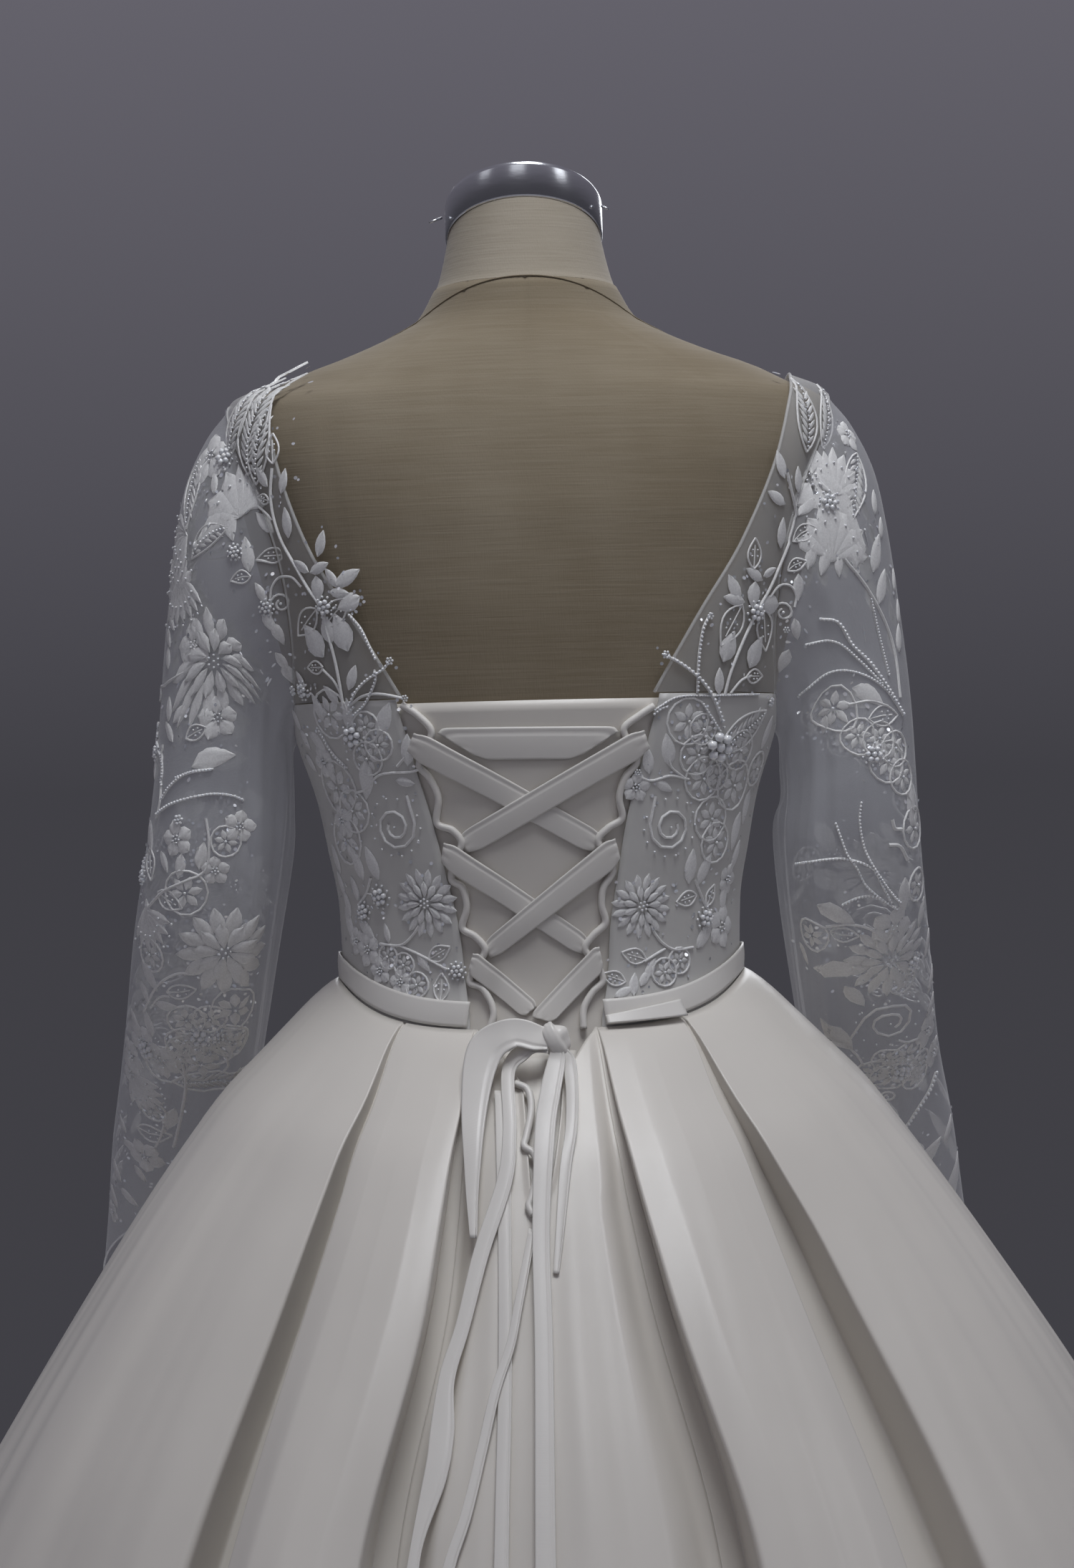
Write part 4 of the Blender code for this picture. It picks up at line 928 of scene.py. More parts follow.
# The skirt's panels, one row each: the valleys that bound it, cells across its crown, and how round it is
Panel = namedtuple("Panel", "name start end crown round")
PANELS = [
    Panel("skirt_back_pleat_left", "hip_left", "back_left", 4, 1.0),
    Panel("skirt_back_pleat_right", "back_right", "hip_right", 4, 1.0),
    Panel("skirt_side_back_left", "side_left", "hip_left", 8, 1.5),
    Panel("skirt_side_back_right", "hip_right", "side_right", 8, 1.5),
    Panel("skirt_side_front_left", "hip_front_left", "side_left", 7, 1.5),
    Panel("skirt_side_front_right", "side_right", "hip_front_right", 7, 1.5),
    Panel("skirt_front_pleat_left", "front_left", "hip_front_left", 4, 1.0),
    Panel("skirt_front_pleat_right", "hip_front_right", "front_right", 4, 1.0),
    Panel("skirt_front", "front_right", "front_left", 6, 1.2),
]

# The skirt's back opening, one row a height: the angle of its left edge and its width
Placket = namedtuple("Placket", "z left gap")
PLACKET = [
    Placket(0.500, -1.10, 0.0005), Placket(0.905, -1.95, 0.0005), Placket(0.916, -2.05, 0.0019),
    Placket(0.929, -2.50, 0.0105), Placket(0.958, -3.40, 0.0176), Placket(0.979, -4.50, 0.0213),
    Placket(0.990, -6.60, 0.0265), Placket(1.006, -11.1, 0.0405), Placket(1.012, -16.0, 0.0574),
]
# How far the panel's top lies below the waist, from its seam to its edge
PLACKET_TOP = [(0.0, 0.0), (0.42, 0.0050), (0.75, 0.0150), (1.0, 0.0270)]
flare_out = curve_through(FLARE, "drop", "out")
flare_valley = curve_through(FLARE, "drop", "valley")
flare_recess = curve_through(FLARE, "drop", "recess")
flare_crown = curve_through(FLARE, "drop", "crown")
HEM_Z = 0.0006
WAIST_RADIUS = 0.115         # the skirt's mean radius at the waist
BUTTED = 0.02 * MM           # gap left at a seam, so that two panels never share a face
waist_heights = [waist_seam(a) for a in range(-180, 181)]
waist_points = [over(a, z, LIFT_WAIST_FLOOR + WAIST_PLEAT)
                for a, z in zip(range(-180, 181), waist_heights)]


def degrees_a_metre(drop):
    """The turn that one metre round the skirt makes, at a drop below the waist."""
    return math.degrees(1 / (WAIST_RADIUS + flare_out(drop)))


def waist_at(angle):
    """The waist seam's point at an angle, between the whole degrees that were worked out."""
    turn = (angle + 180) % 360
    low = int(turn)
    return waist_points[low].lerp(waist_points[(low + 1) % 360], turn - low)


def waist_height(angle):
    """The waist seam's height at an angle."""
    turn = (angle + 180) % 360
    low = int(turn)
    return mix(waist_heights[low], waist_heights[(low + 1) % 360], turn - low)


def ripple(angle, drop):
    """Soft hollows and swells of heavy cloth, in metres outward."""
    broad = noise.noise(Vector((angle / 7.5, drop * 3.2, 3.7)))
    fine = noise.noise(Vector((angle / 2.6, drop * 6.0, 9.1)))
    return (0.0062 * broad + 0.0016 * fine) * min(1.0, drop / 0.30)


def skirt(angle, z, inward):
    """A point of the skirt at an angle and height, inward from its crown line."""
    turn = math.radians(angle)
    start = waist_at(angle)
    drop = max(0.0, waist_height(angle) - z)
    tucked = 2.6 * MM * math.exp(-drop / (2 * MM))
    out = flare_out(drop) - inward - tucked + ripple(angle, drop)
    return Vector((start.x + out * math.sin(turn), start.y - out * math.cos(turn), z))


def fold_angles(name, drop):
    """The angles of a valley's two folds at a drop below the waist."""
    valley = next(v for v in VALLEYS if v.name == name)
    columns = (valley.waist, valley.high, valley.middle, valley.low, valley.hem)
    return tuple(smooth_line(list(zip(VALLEY_DROPS, [c[k] for c in columns])))(drop) for k in (0, 1))


def slant(drop):
    """How much longer a sideways step is than the same step square to the centre back's slope."""
    step = 0.004
    rise = (flare_out(drop + step) - flare_recess(drop + step)) - (flare_out(drop) - flare_recess(drop))
    return math.hypot(1, rise / step)


def skirt_top(angle):
    return waist_seam(angle) - SEAM


def cut_corners(points, times):
    """Rounds a folded line by cutting each corner at a quarter of its sides, keeping the two ends."""
    for _ in range(times):
        rounder = [points[0]]
        for a, b in zip(points, points[1:]):
            rounder.append(tuple(mix(p, q, 0.25) for p, q in zip(a, b)))
            rounder.append(tuple(mix(p, q, 0.75) for p, q in zip(a, b)))
        points = rounder + [points[-1]]
    return points


def sharpened(points, share):
    """Keeps a fold crisp: each corner gets two helpers close beside it, closer as share goes to one."""
    kept = [points[0]]
    for before, corner, after in zip(points, points[1:], points[2:]):
        near = mix(0.34, 0.05, share)
        kept.append(tuple(mix(c, b, near) for c, b in zip(corner, before)))
        kept.append(corner)
        kept.append(tuple(mix(c, a, near) for c, a in zip(corner, after)))
    return kept + [points[-1]]


def panel_section(panel, drop):
    """Angle and depth along one pleat, as in the solid, with its folds rounded."""
    start = fold_angles(panel.start, drop)
    end = fold_angles(panel.end, drop)
    first, last = start[1], end[0]
    if last < first:
        last += 360
    seam_first = (start[0] + start[1]) / 2
    seam_last = (end[0] + end[1]) / 2 + (360 if end[0] < first else 0)
    per_metre = degrees_a_metre(drop)
    seam_first += BUTTED * per_metre
    seam_last -= BUTTED * per_metre
    deep, crown = flare_valley(drop), flare_crown(drop) * panel.round
    tuck = 0.2 * max(0.0, deep - WAIST_PLEAT) * per_metre
    points = [(seam_first, deep), (first + tuck, deep), (first, crown)]
    for k in range(1, panel.crown):
        share = k / panel.crown
        points.append((mix(first, last, share), crown * abs(2 * share - 1) ** 2.2))
    points += [(last, crown), (last - tuck, deep), (seam_last, deep)]
    soft = min(1.0, drop / 0.45)
    return cut_corners(sharpened(points, 1 - soft), 2)


SKIRT_DOWN = 84


def down_share(row):
    """Rows stand closer together near the waist."""
    return (row / SKIRT_DOWN) ** 1.35


for panel in PANELS:
    middle = sum(fold_angles(panel.start, 0)) / 2 + 4
    length = skirt_top(middle) - HEM_Z
    sections = [panel_section(panel, length * down_share(row)) for row in range(SKIRT_DOWN + 1)]

    def gore(column, row, sections=sections):
        angle, inward = sections[row][column]
        z = mix(skirt_top(angle), HEM_Z, down_share(row))
        return skirt(angle, z, inward)

    lay_cloth("cloth_" + panel.name, len(sections[0]) - 1, SKIRT_DOWN, gore, skirt_satin, 1.0 * MM,
              held="gathered", stands_for=[panel.name])

# %% The centre back and its opening
placket_left = curve_through(PLACKET, "z", "left")
placket_gap = curve_through(PLACKET, "z", "gap")


def placket_right(z):
    radius = WAIST_RADIUS + flare_out(max(0.0, waist_seam(0) - z))
    return placket_left(z) + math.degrees(placket_gap(z) / radius)


placket_top = smooth_line(PLACKET_TOP)


def centre_depth(share, drop):
    """How far the centre back lies in: full valley depth at the seam, rising to the recess."""
    rise = min(1.0, max(0.0, share - 0.06) / 0.30)
    ease = rise * rise * (3 - 2 * rise)
    return mix(flare_valley(drop), flare_recess(drop), ease)


CENTRE_COLUMNS = 44


def centre_piece(side):
    valley = "back_left" if side < 0 else "back_right"
    edge_of = placket_left if side < 0 else placket_right

    def place(column, row):
        share = column / CENTRE_COLUMNS
        angle = fold_angles(valley, 0.0)[0]
        for _ in range(4):
            z = mix(skirt_top(angle) - placket_top(share), HEM_Z, down_share(row))
            drop = max(0.0, waist_height(angle) - z)
            seam = sum(fold_angles(valley, drop)) / 2
            seam -= math.copysign(BUTTED * degrees_a_metre(drop), seam)
            angle = mix(seam, edge_of(z), share)
        roll = 0.0016 * math.exp(-((1 - share) / 0.06) ** 2) * min(1.0, placket_gap(z) / 0.01)
        return skirt(angle, z, centre_depth(share, drop) - roll)
    return place


for side, word in ((-1, "left"), (1, "right")):
    lay_cloth("cloth_centre_back_" + word, CENTRE_COLUMNS, SKIRT_DOWN, centre_piece(side), skirt_satin,
              1.0 * MM, held="gathered", stands_for=["skirt_centre_back_" + word])

UNDERLAP_COLUMNS, UNDERLAP_ROWS = 16, 20


def underlap(column, row):
    share = row / UNDERLAP_ROWS
    z = mix(0.994, 0.904, share)
    left = placket_left(z) - mix(2.5, 1.5, share)
    right = placket_right(z) + mix(2.5, 3.5, share)
    angle = mix(left, right, column / UNDERLAP_COLUMNS)
    drop = waist_height(angle) - z
    return skirt(angle, z, flare_recess(drop) + 3.2 * MM * slant(drop))


lay_cloth("underlap_cloth", UNDERLAP_COLUMNS, UNDERLAP_ROWS, underlap, skirt_satin, 1.0 * MM, held="hung",
          stands_for=["placket_underlap"])

# %% [markdown]
# ## Belt
# A narrow band of satin is folded lengthwise, laid over the waist seam and hooked at the opening. Its
# free end is a small folded tab on the right.

# %% The belt and its tab
belt_start = opening_angle(1, 1.02, beyond=0.0012)
belt_end = 360 + opening_angle(-1, 1.02, beyond=0.0012)
BELT_COLUMNS, TAB_COLUMNS, BELT_ROWS = 220, 24, 8


def belt_band(column, row):
    angle = mix(belt_start, belt_end, column / BELT_COLUMNS)
    share = row / BELT_ROWS
    crown = 0.5 * MM * math.sin(math.pi * share)
    return over(angle, belt_top(angle) - share * BELT_HEIGHT, LIFT_BELT + crown)


lay_cloth("belt_band", BELT_COLUMNS, BELT_ROWS, belt_band, ribbon_satin, 1.1 * MM, held="stretched",
          stands_for=["belt"])


def belt_tab(column, row):
    share, down = column / TAB_COLUMNS, row / BELT_ROWS
    x = mix(0.0325, 0.0720, share)
    angle = angle_at(x, 1.01)
    top = mix(1.0105, 1.0165, share)
    z = top - down * mix(0.0045, 0.0095, share)
    return over(angle, max(z, 0.99), LIFT_BELT + 1.7 * MM + (down + share) * 2.2 * MM)


lay_cloth("belt_tab_cloth", TAB_COLUMNS, BELT_ROWS, belt_tab, ribbon_satin, 1.0 * MM, held="folded",
          stands_for=["belt_tab"])

# %% [markdown]
# ## Loops and lacing
# Rouleau loops are bias-cut satin cords sewn in scallops down each edge. A flat satin ribbon runs through
# them from side to side, over and under itself, and is tied in a knot whose loops and ends hang down the
# skirt.

# %% Rouleau loops
Crossing = namedtuple("Crossing", "name start_up start_low end_up end_low lifts")
LACING = [
    Crossing("lace_top", (-0.0500, 1.1699), (-0.0262, 1.1523), (0.0420, 1.1685), (0.0176, 1.1515),
             (3.2, 3.2, 3.2, 3.2, 3.2)),
    Crossing("lace_cross_1_under", (-0.0567, 1.1665), (-0.0619, 1.1531), (0.0300, 1.1136), (0.0230, 1.1024),
             (6.6, 6.1, 3.2, 3.2, 3.2)),
    Crossing("lace_cross_1_over", (0.0497, 1.1653), (0.0535, 1.1517), (-0.0385, 1.1147), (-0.0312, 1.1034),
             (6.6, 6.1, 4.8, 4.2, 3.2)),
    Crossing("lace_cross_2_under", (-0.0440, 1.1071), (-0.0465, 1.0928), (0.0225, 1.0573), (0.0165, 1.0472),
             (6.6, 6.1, 3.2, 3.2, 3.2)),
    Crossing("lace_cross_2_over", (0.0349, 1.1073), (0.0386, 1.0920), (-0.0275, 1.0557), (-0.0215, 1.0463),
             (6.6, 6.1, 4.8, 4.2, 3.2)),
    Crossing("lace_cross_3_left", (-0.0326, 1.0475), (-0.0363, 1.0346), (-0.0036, 1.0200),
             (-0.0120, 1.0125), (6.6, 6.1, 3.6, 3.2, 3.2)),
    Crossing("lace_cross_3_right", (0.0275, 1.0495), (0.0305, 1.0344), (-0.0050, 1.0140), (0.0070, 1.0095),
             (6.6, 6.1, 5.0, 4.8, 4.8)),
]

# The rouleau loops down each edge of the opening, as x and z along one cord of satin
LOOPS_LEFT = [
    (-0.0706, 1.1832), (-0.0625, 1.1775), (-0.0552, 1.1685), (-0.0590, 1.1585), (-0.0620, 1.1504),
    (-0.0567, 1.1435), (-0.0522, 1.1325), (-0.0533, 1.1189), (-0.0452, 1.1147), (-0.0406, 1.1077),
    (-0.0443, 1.0983), (-0.0462, 1.0880), (-0.0406, 1.0832), (-0.0385, 1.0722), (-0.0411, 1.0613),
    (-0.0344, 1.0564), (-0.0294, 1.0488), (-0.0348, 1.0393), (-0.0378, 1.0309), (-0.0310, 1.0270),
    (-0.0258, 1.0148), (-0.0285, 1.0035),
]
LOOPS_RIGHT = [
    (0.0628, 1.1793), (0.0546, 1.1740), (0.0467, 1.1674), (0.0495, 1.1586), (0.0529, 1.1497),
    (0.0465, 1.1410), (0.0432, 1.1302), (0.0444, 1.1193), (0.0371, 1.1141), (0.0315, 1.1074),
    (0.0360, 1.0978), (0.0388, 1.0902), (0.0336, 1.0814), (0.0325, 1.0719), (0.0342, 1.0623),
    (0.0276, 1.0556), (0.0233, 1.0483), (0.0293, 1.0392), (0.0322, 1.0303), (0.0268, 1.0243),
    (0.0218, 1.0150), (0.0215, 1.0042),
]
PLACKET_LOOPS = [
    (-0.0150, 0.9790), (-0.0085, 0.9755), (-0.0070, 0.9660), (-0.0100, 0.9530), (-0.0112, 0.9480),
    (-0.0060, 0.9440), (-0.0048, 0.9350), (-0.0080, 0.9235), (-0.0098, 0.9190), (-0.0075, 0.9145),
]

# The hanging ribbons, rows of x, z, lift above the skirt and width, all in millimetres
Stretch = namedtuple("Stretch", "x z lift width")
KNOT_X, KNOT_Z, KNOT_SIZE = 0.0066, 1.0006, (0.0088, 0.0068, 0.0100)
STRANDS = {name: [Stretch(x * MM, z * MM, *rest) for x, z, *rest in rows] for name, rows in {
    "lace_bow_band": [(3.2, 1000.4, 12, 9), (-2.6, 1002.6, 13.4, 13), (-13.9, 1005.5, 14, 15),
        (-26.8, 996, 12, 16), (-34.5, 970, 8.6, 13), (-38.7, 933.6, 5.6, 7.6), (-39.7, 904, 3.9, 3.6)],
    "lace_tail_left": [(2.5, 997, 11, 5), (-4.5, 998.2, 11, 7), (-10, 995, 9.5, 8),
        (-17.6, 984.5, 6, 6.6), (-18.4, 956, 4.2, 7), (-22.1, 931.4, 3.7, 8), (-35.8, 896.8, 3.8, 8.3),
        (-46.6, 862.7, 3.6, 7.6), (-55.6, 838.5, 3.4, 8.5), (-58.8, 812.9, 3, 12.9), (-62.3, 794.8, 3, 12),
        (-73.5, 759.2, 3, 5.9), (-77.6, 720, 3, 9), (-76, 670, 3, 13)],
    "lace_fold_left": [(-21.6, 975.3, 3.2, 7.7), (-22.6, 944.8, 2, 7.4), (-23.6, 885, 2, 7.1),
        (-25, 830.8, 2, 7.3), (-27.5, 777, 2, 7.4), (-29.9, 707.2, 2, 8.6), (-30.5, 650, 2, 10)],
    "lace_fold_middle": [(6.4, 995.5, 10.5, 6), (6, 989.5, 9, 8.5), (2.9, 974.4, 8, 10),
        (-0.2, 954.7, 6.4, 10.3), (-3.5, 906, 4.6, 9.2), (-3.5, 849.3, 4.2, 9.8), (-5.1, 759.3, 3.6, 10.7),
        (-6.6, 650, 3.2, 12.5)],
    "lace_fold_right": [(9.4, 995, 9.5, 4.5), (12.5, 988.5, 7.2, 6.5), (14, 973.8, 5, 6),
        (13.6, 956, 3, 6), (10.5, 938.3, 2.4, 6), (7, 909, 2, 4.6), (4, 886.3, 2, 3)],
    "lace_tail_middle": [(-8, 907.7, 2.2, 4), (-16.6, 871.8, 3.4, 4.5), (-21.3, 853.2, 3.8, 4.6),
        (-29.6, 832.9, 3.6, 5), (-37.1, 807.4, 2.6, 5.2), (-46.5, 776.9, 2, 5.6), (-55.7, 754, 2, 6),
        (-60, 730, 2, 6.4), (-62, 690, 2, 7)],
}.items()}
LOOP_RADIUS = 2.0 * MM


def on_centre(x, z, lift):
    """A point that lies lift above the skirt's recessed centre back, and runs on smoothly above it."""
    under_waist = waist_height(0) - z
    drop = 0.5 * (under_waist + math.hypot(under_waist, 8 * MM))
    out = flare_out(drop) - flare_recess(drop) + lift * slant(drop)
    angle = math.degrees(math.asin(max(-1.0, min(1.0, x / (WAIST_RADIUS + flare_out(drop))))))
    start = waist_at(angle)
    turn = math.radians(angle)
    return Vector((start.x + out * math.sin(turn), start.y - out * math.cos(turn), z))


for name, route in (("loops_left", LOOPS_LEFT), ("loops_right", LOOPS_RIGHT)):
    flat = rounded([(x, z, 0) for x, z in route], 8)
    line = [over(angle_at(p.x, p.y), p.y, LIFT_LOOPS) for p in flat]
    cord_of_satin(name + "_cord", [line], LOOP_RADIUS, ribbon_satin, stands_for=[name], sides=3)

flat = rounded([(x, z, 0) for x, z in PLACKET_LOOPS], 8)
line = [on_centre(p.x, p.y, 2.4 * MM) for p in flat]
cord_of_satin("placket_loop_cord", [line], LOOP_RADIUS, ribbon_satin, stands_for=["placket_loops"], sides=3)

# %% The crossing ribbons
LIFTS_AT = [0.0, 0.16, 0.5, 0.8, 1.0]        # where along a ribbon its lifts stand
RIBBON_COLUMNS, RIBBON_ROWS = 16, 48
PAST_END = 0.07                              # how far a ribbon runs on under its loop


def creased(share):
    """A flat tube of satin across its width: a low crown with a pressed crease beside each edge."""
    crease = math.exp(-((share - 0.17) / 0.045) ** 2)
    return 0.30 * MM * math.sin(math.pi * share) - 0.45 * MM * crease


for ribbon in LACING:
    lift = smooth_line(list(zip(LIFTS_AT, ribbon.lifts)))

    def crossing(column, row, ribbon=ribbon, lift=lift):
        along, share = mix(-PAST_END, 1 + PAST_END, row / RIBBON_ROWS), column / RIBBON_COLUMNS
        end = min(along + PAST_END, 1 + PAST_END - along)
        pinch = 1 - 0.30 * math.exp(-(end / 0.05) ** 2)
        up = Vector(ribbon.start_up).lerp(Vector(ribbon.end_up), along)
        low = Vector(ribbon.start_low).lerp(Vector(ribbon.end_low), along)
        x, z = up.lerp(low, 0.5 + (share - 0.5) * pinch)
        gathered = 0.55 * MM * (1 - pinch) * math.cos(5 * math.pi * share)
        return over(angle_at(x, z), z, lift(min(1.0, max(0.0, along))) * MM + creased(share) + gathered)

    lay_cloth(ribbon.name + "_ribbon", RIBBON_COLUMNS, RIBBON_ROWS, crossing, ribbon_satin, 0.9 * MM,
              held="stretched", stands_for=[ribbon.name])

# %% The hanging loops and ends
STRAND_TWIST = {"lace_bow_band": 0.15, "lace_tail_left": 0.3, "lace_fold_left": 0.25,
                "lace_fold_middle": 0.2, "lace_fold_right": 0.3, "lace_tail_middle": 0.3}
for name, rows in STRANDS.items():
    line = rounded([(row.x, row.z, 0) for row in rows], 14)
    count = len(line) - 1
    lift = smooth_line([(k / (len(rows) - 1), row.lift) for k, row in enumerate(rows)])
    width = smooth_line([(k / (len(rows) - 1), row.width) for k, row in enumerate(rows)])

    def strand(column, row, line=line, count=count, lift=lift, width=width, name=name):
        along, share = row / count, column / RIBBON_COLUMNS
        before, after = line[max(0, row - 1)], line[min(count, row + 1)]
        run = (after - before).normalized()
        aside = Vector((-run.y, run.x, 0))
        spot = line[row] + aside * (0.5 - share) * width(along) * MM
        curl = 1.1 * MM * STRAND_TWIST[name] * (2 * share - 1) * math.sin(7 * along + len(name))
        return on_centre(spot.x, spot.y, lift(along) * MM + creased(share) + curl)

    lay_cloth(name + "_ribbon", RIBBON_COLUMNS, count, strand, ribbon_satin, 0.9 * MM, held="hung",
              stands_for=[name])

# %% The knot
knot_mesh = bmesh.new()
bmesh.ops.create_uvsphere(knot_mesh, u_segments=48, v_segments=32, radius=1.0)
knot_wide, knot_deep, knot_tall = KNOT_SIZE
knot_centre = on_centre(KNOT_X, KNOT_Z, 0.0)
knot_centre.y -= knot_deep + 6.4 * MM
for vertex in knot_mesh.verts:
    spot = vertex.co.copy()
    across_wrap = 0.86 * spot.x + 0.50 * spot.z + 0.12
    wrap = 0.11 * math.tanh((0.42 - abs(across_wrap)) / 0.07)
    pleat = -0.035 * math.exp(-((abs(across_wrap) - 0.14) / 0.05) ** 2)
    side_fold = 0.05 * math.sin(5 * spot.z - 3 * spot.x) * (abs(across_wrap) > 0.42)
    reach = 1 + wrap + pleat + side_fold
    vertex.co = knot_centre + Vector((spot.x * knot_wide, spot.y * knot_deep, spot.z * knot_tall)) * reach
knot = add_piece("knot", knot_mesh, ribbon_satin)
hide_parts("lace_knot")

# %% [markdown]
# ## Embroidery: the cloth as a ground
# The tulle and the bodice are worked all over with leaves, blossoms and beaded stems, in thread of the
# cloth's own colour. An embroiderer pins a drawing on the cloth and works each motif where it lies. Here
# the sleeves and the bodice are grids of points with an outward direction at each, and a motif is found
# its seat on them by the place where the photograph shows it. It is then drawn flat and laid on the cloth
# round that seat, so that it bends with the cloth and sits on it from every side.

# %% The grounds
GROUND_AROUND, GROUND_STEP = 180, 0.004


def picture_place(points):
    """Where the photograph shows each point, in its own pixels."""
    away = points - np.array(CAMERA_PLACE)
    reach = PIXELS_PER_METRE * -CAMERA_PLACE.y
    across = away[:, 0] / away[:, 1] * reach
    down = -away[:, 2] / away[:, 1] * reach
    return np.stack([PHOTO_MIDDLE[0] + across * math.cos(LEAN) + down * math.sin(LEAN),
                     PHOTO_MIDDLE[1] - across * math.sin(LEAN) + down * math.cos(LEAN)], axis=1)


class Ground:
    """A tube of cloth as rings of points, with the outward direction at each."""

    def __init__(self, rings, lift, turned):
        self.lift = lift
        self.turned = turned
        self.points = np.array([[tuple(point) for point in ring] for ring in rings])
        around = np.roll(self.points, -1, 1) - np.roll(self.points, 1, 1)
        self.normals = np.cross(around, np.gradient(self.points, axis=0))
        self.normals /= np.linalg.norm(self.normals, axis=2, keepdims=True)
        from_middle = self.points - self.points.mean(axis=1, keepdims=True)
        if (self.normals * from_middle).sum() < 0:
            self.normals *= -1
        flat = self.points.reshape(-1, 3)
        towards = np.array(CAMERA_PLACE) - flat
        self.shown = picture_place(flat)
        self.hidden = np.where((self.normals.reshape(-1, 3) * towards).sum(axis=1) > 0, 0.0, 1e9)

    def at(self, u, v):
        """Points and outward directions at fractional columns and rows, run on straight past the ends."""
        rows, columns = self.points.shape[:2]
        left = np.floor(u).astype(int)
        top = np.clip(np.floor(v).astype(int), 0, rows - 2)
        across, down = (u - left)[:, None], np.clip(v - top, -4.0, 5.0)[:, None]
        left, right = left % columns, (left + 1) % columns
        found = []
        for grid, share in ((self.points, down), (self.normals, np.clip(down, 0.0, 1.0))):
            upper = grid[top, left] * (1 - across) + grid[top, right] * across
            lower = grid[top + 1, left] * (1 - across) + grid[top + 1, right] * across
            found.append(upper * (1 - share) + lower * share)
        return found

    def under(self, pixels):
        """The column and row shown at each pixel, how many pixels that misses by, and its depth."""
        columns = self.points.shape[1]
        nearest = [((self.shown - pixel) ** 2).sum(axis=1) + self.hidden for pixel in pixels]
        spots = np.array([far.argmin() for far in nearest])
        u0, v0 = (spots % columns).astype(float), (spots // columns).astype(float)
        u, v = u0.copy(), v0.copy()
        for _ in range(5):
            miss = pixels - picture_place(self.at(u, v)[0])
            du = picture_place(self.at(u + 0.5, v)[0]) - picture_place(self.at(u - 0.5, v)[0])
            dv = picture_place(self.at(u, v + 0.5)[0]) - picture_place(self.at(u, v - 0.5)[0])
            cross = du[:, 0] * dv[:, 1] - du[:, 1] * dv[:, 0]
            cross = np.where(np.abs(cross) < 1e-3, 1e-3, cross)
            u = np.clip(u + (miss[:, 0] * dv[:, 1] - miss[:, 1] * dv[:, 0]) / cross, u0 - 1.5, u0 + 1.5)
            v = np.clip(v + (du[:, 0] * miss[:, 1] - du[:, 1] * miss[:, 0]) / cross, v0 - 1.5, v0 + 1.5)
        places = self.at(u, v)[0]
        return u, v, np.linalg.norm(pixels - picture_place(places), axis=1), places[:, 1]


heights = np.arange(1.372, 1.018, -GROUND_STEP)
torso_rings = [[over(360 * k / GROUND_AROUND - 180, z, LIFT_BODICE) for k in range(GROUND_AROUND)]
               for z in heights]
TORSO_GROUND = Ground(torso_rings, 0.75 * MM, lambda u: 1.5 * GROUND_AROUND - u)
SLEEVE_GROUNDS = {side: Ground(SLEEVES[side], 0.15 * MM, lambda u: AROUND - u) for side in (-1, 1)}
print("ground points:", TORSO_GROUND.points.shape, SLEEVE_GROUNDS[1].points.shape)

# %% Seats
Seat = namedtuple("Seat", "ground u v")


def seats_at(side, pixels):
    """The cloth shown at each pixel: the sleeve or the bodice, whichever is nearer the camera."""
    pixels = np.array(pixels, float)
    found = [(ground, *ground.under(pixels)) for ground in (SLEEVE_GROUNDS[side], TORSO_GROUND)]
    seats = []
    for k in range(len(pixels)):
        order = []
        for n, (_, _, _, miss, depth) in enumerate(found):
            order.append((miss[k] > 5, miss[k] if miss[k] > 5 else depth[k], n))
        ground, u, v = found[min(order)[2]][:3]
        seats.append(Seat(ground, u[k], v[k]))
    return seats


def spread(seat, flat, mirrored=False):
    """Lays flat points, in millimetres across, up and out, on the cloth round a seat."""
    ground = seat.ground
    nearby = ground.at(np.array([seat.u, seat.u + 1, seat.u - 1, seat.u, seat.u]),
                       np.array([seat.v, seat.v, seat.v, seat.v + 1, seat.v - 1]))
    out = nearby[1][0] / np.linalg.norm(nearby[1][0])
    up = np.array((0.0, 0.3, 1.0))
    up -= out * (up @ out)
    up /= np.linalg.norm(up)
    right = np.cross(up, out)
    along_u = (nearby[0][1] - nearby[0][2]) / 2
    along_v = (nearby[0][3] - nearby[0][4]) / 2
    metres = np.array([[along_u @ right, along_v @ right], [along_u @ up, along_v @ up]])
    across = flat[:, 0] * (-1 if mirrored else 1)
    moves = np.stack([across, flat[:, 1]], axis=1) * MM @ np.linalg.inv(metres).T
    places, outward_at = ground.at(seat.u + moves[:, 0], seat.v + moves[:, 1])
    return places + outward_at * (flat[:, 2] * MM + ground.lift)[:, None]


# %% [markdown]
# ## Embroidery: the stitches
# A worked motif is made of a few stitches: a padded satin-stitch leaf with a groove for its vein, a
# corded outline, single beads and sequins. Each is one small bmesh shape, a grid, an icosphere or a
# circle, that is pushed into form, and is used again for every motif, so each has only a few dozen faces.

# %% Small shapes that every motif uses
def corners_and_faces(mesh):
    """A small shape's corners and triangles."""
    bmesh.ops.triangulate(mesh, faces=mesh.faces)
    mesh.verts.index_update()
    corners = np.array([tuple(vertex.co) for vertex in mesh.verts])
    faces = np.array([[vertex.index for vertex in face.verts] for face in mesh.faces])
    mesh.free()
    return corners, faces


GRIDS = {}


def grid_of(columns, rows):
    """A flat grid's corners, as shares across and along, and its triangles."""
    if (columns, rows) not in GRIDS:
        mesh = bmesh.new()
        bmesh.ops.create_grid(mesh, x_segments=columns, y_segments=rows, size=0.5)
        corners, faces = corners_and_faces(mesh)
        GRIDS[columns, rows] = corners[:, 0] + 0.5, corners[:, 1] + 0.5, faces
    return GRIDS[columns, rows]


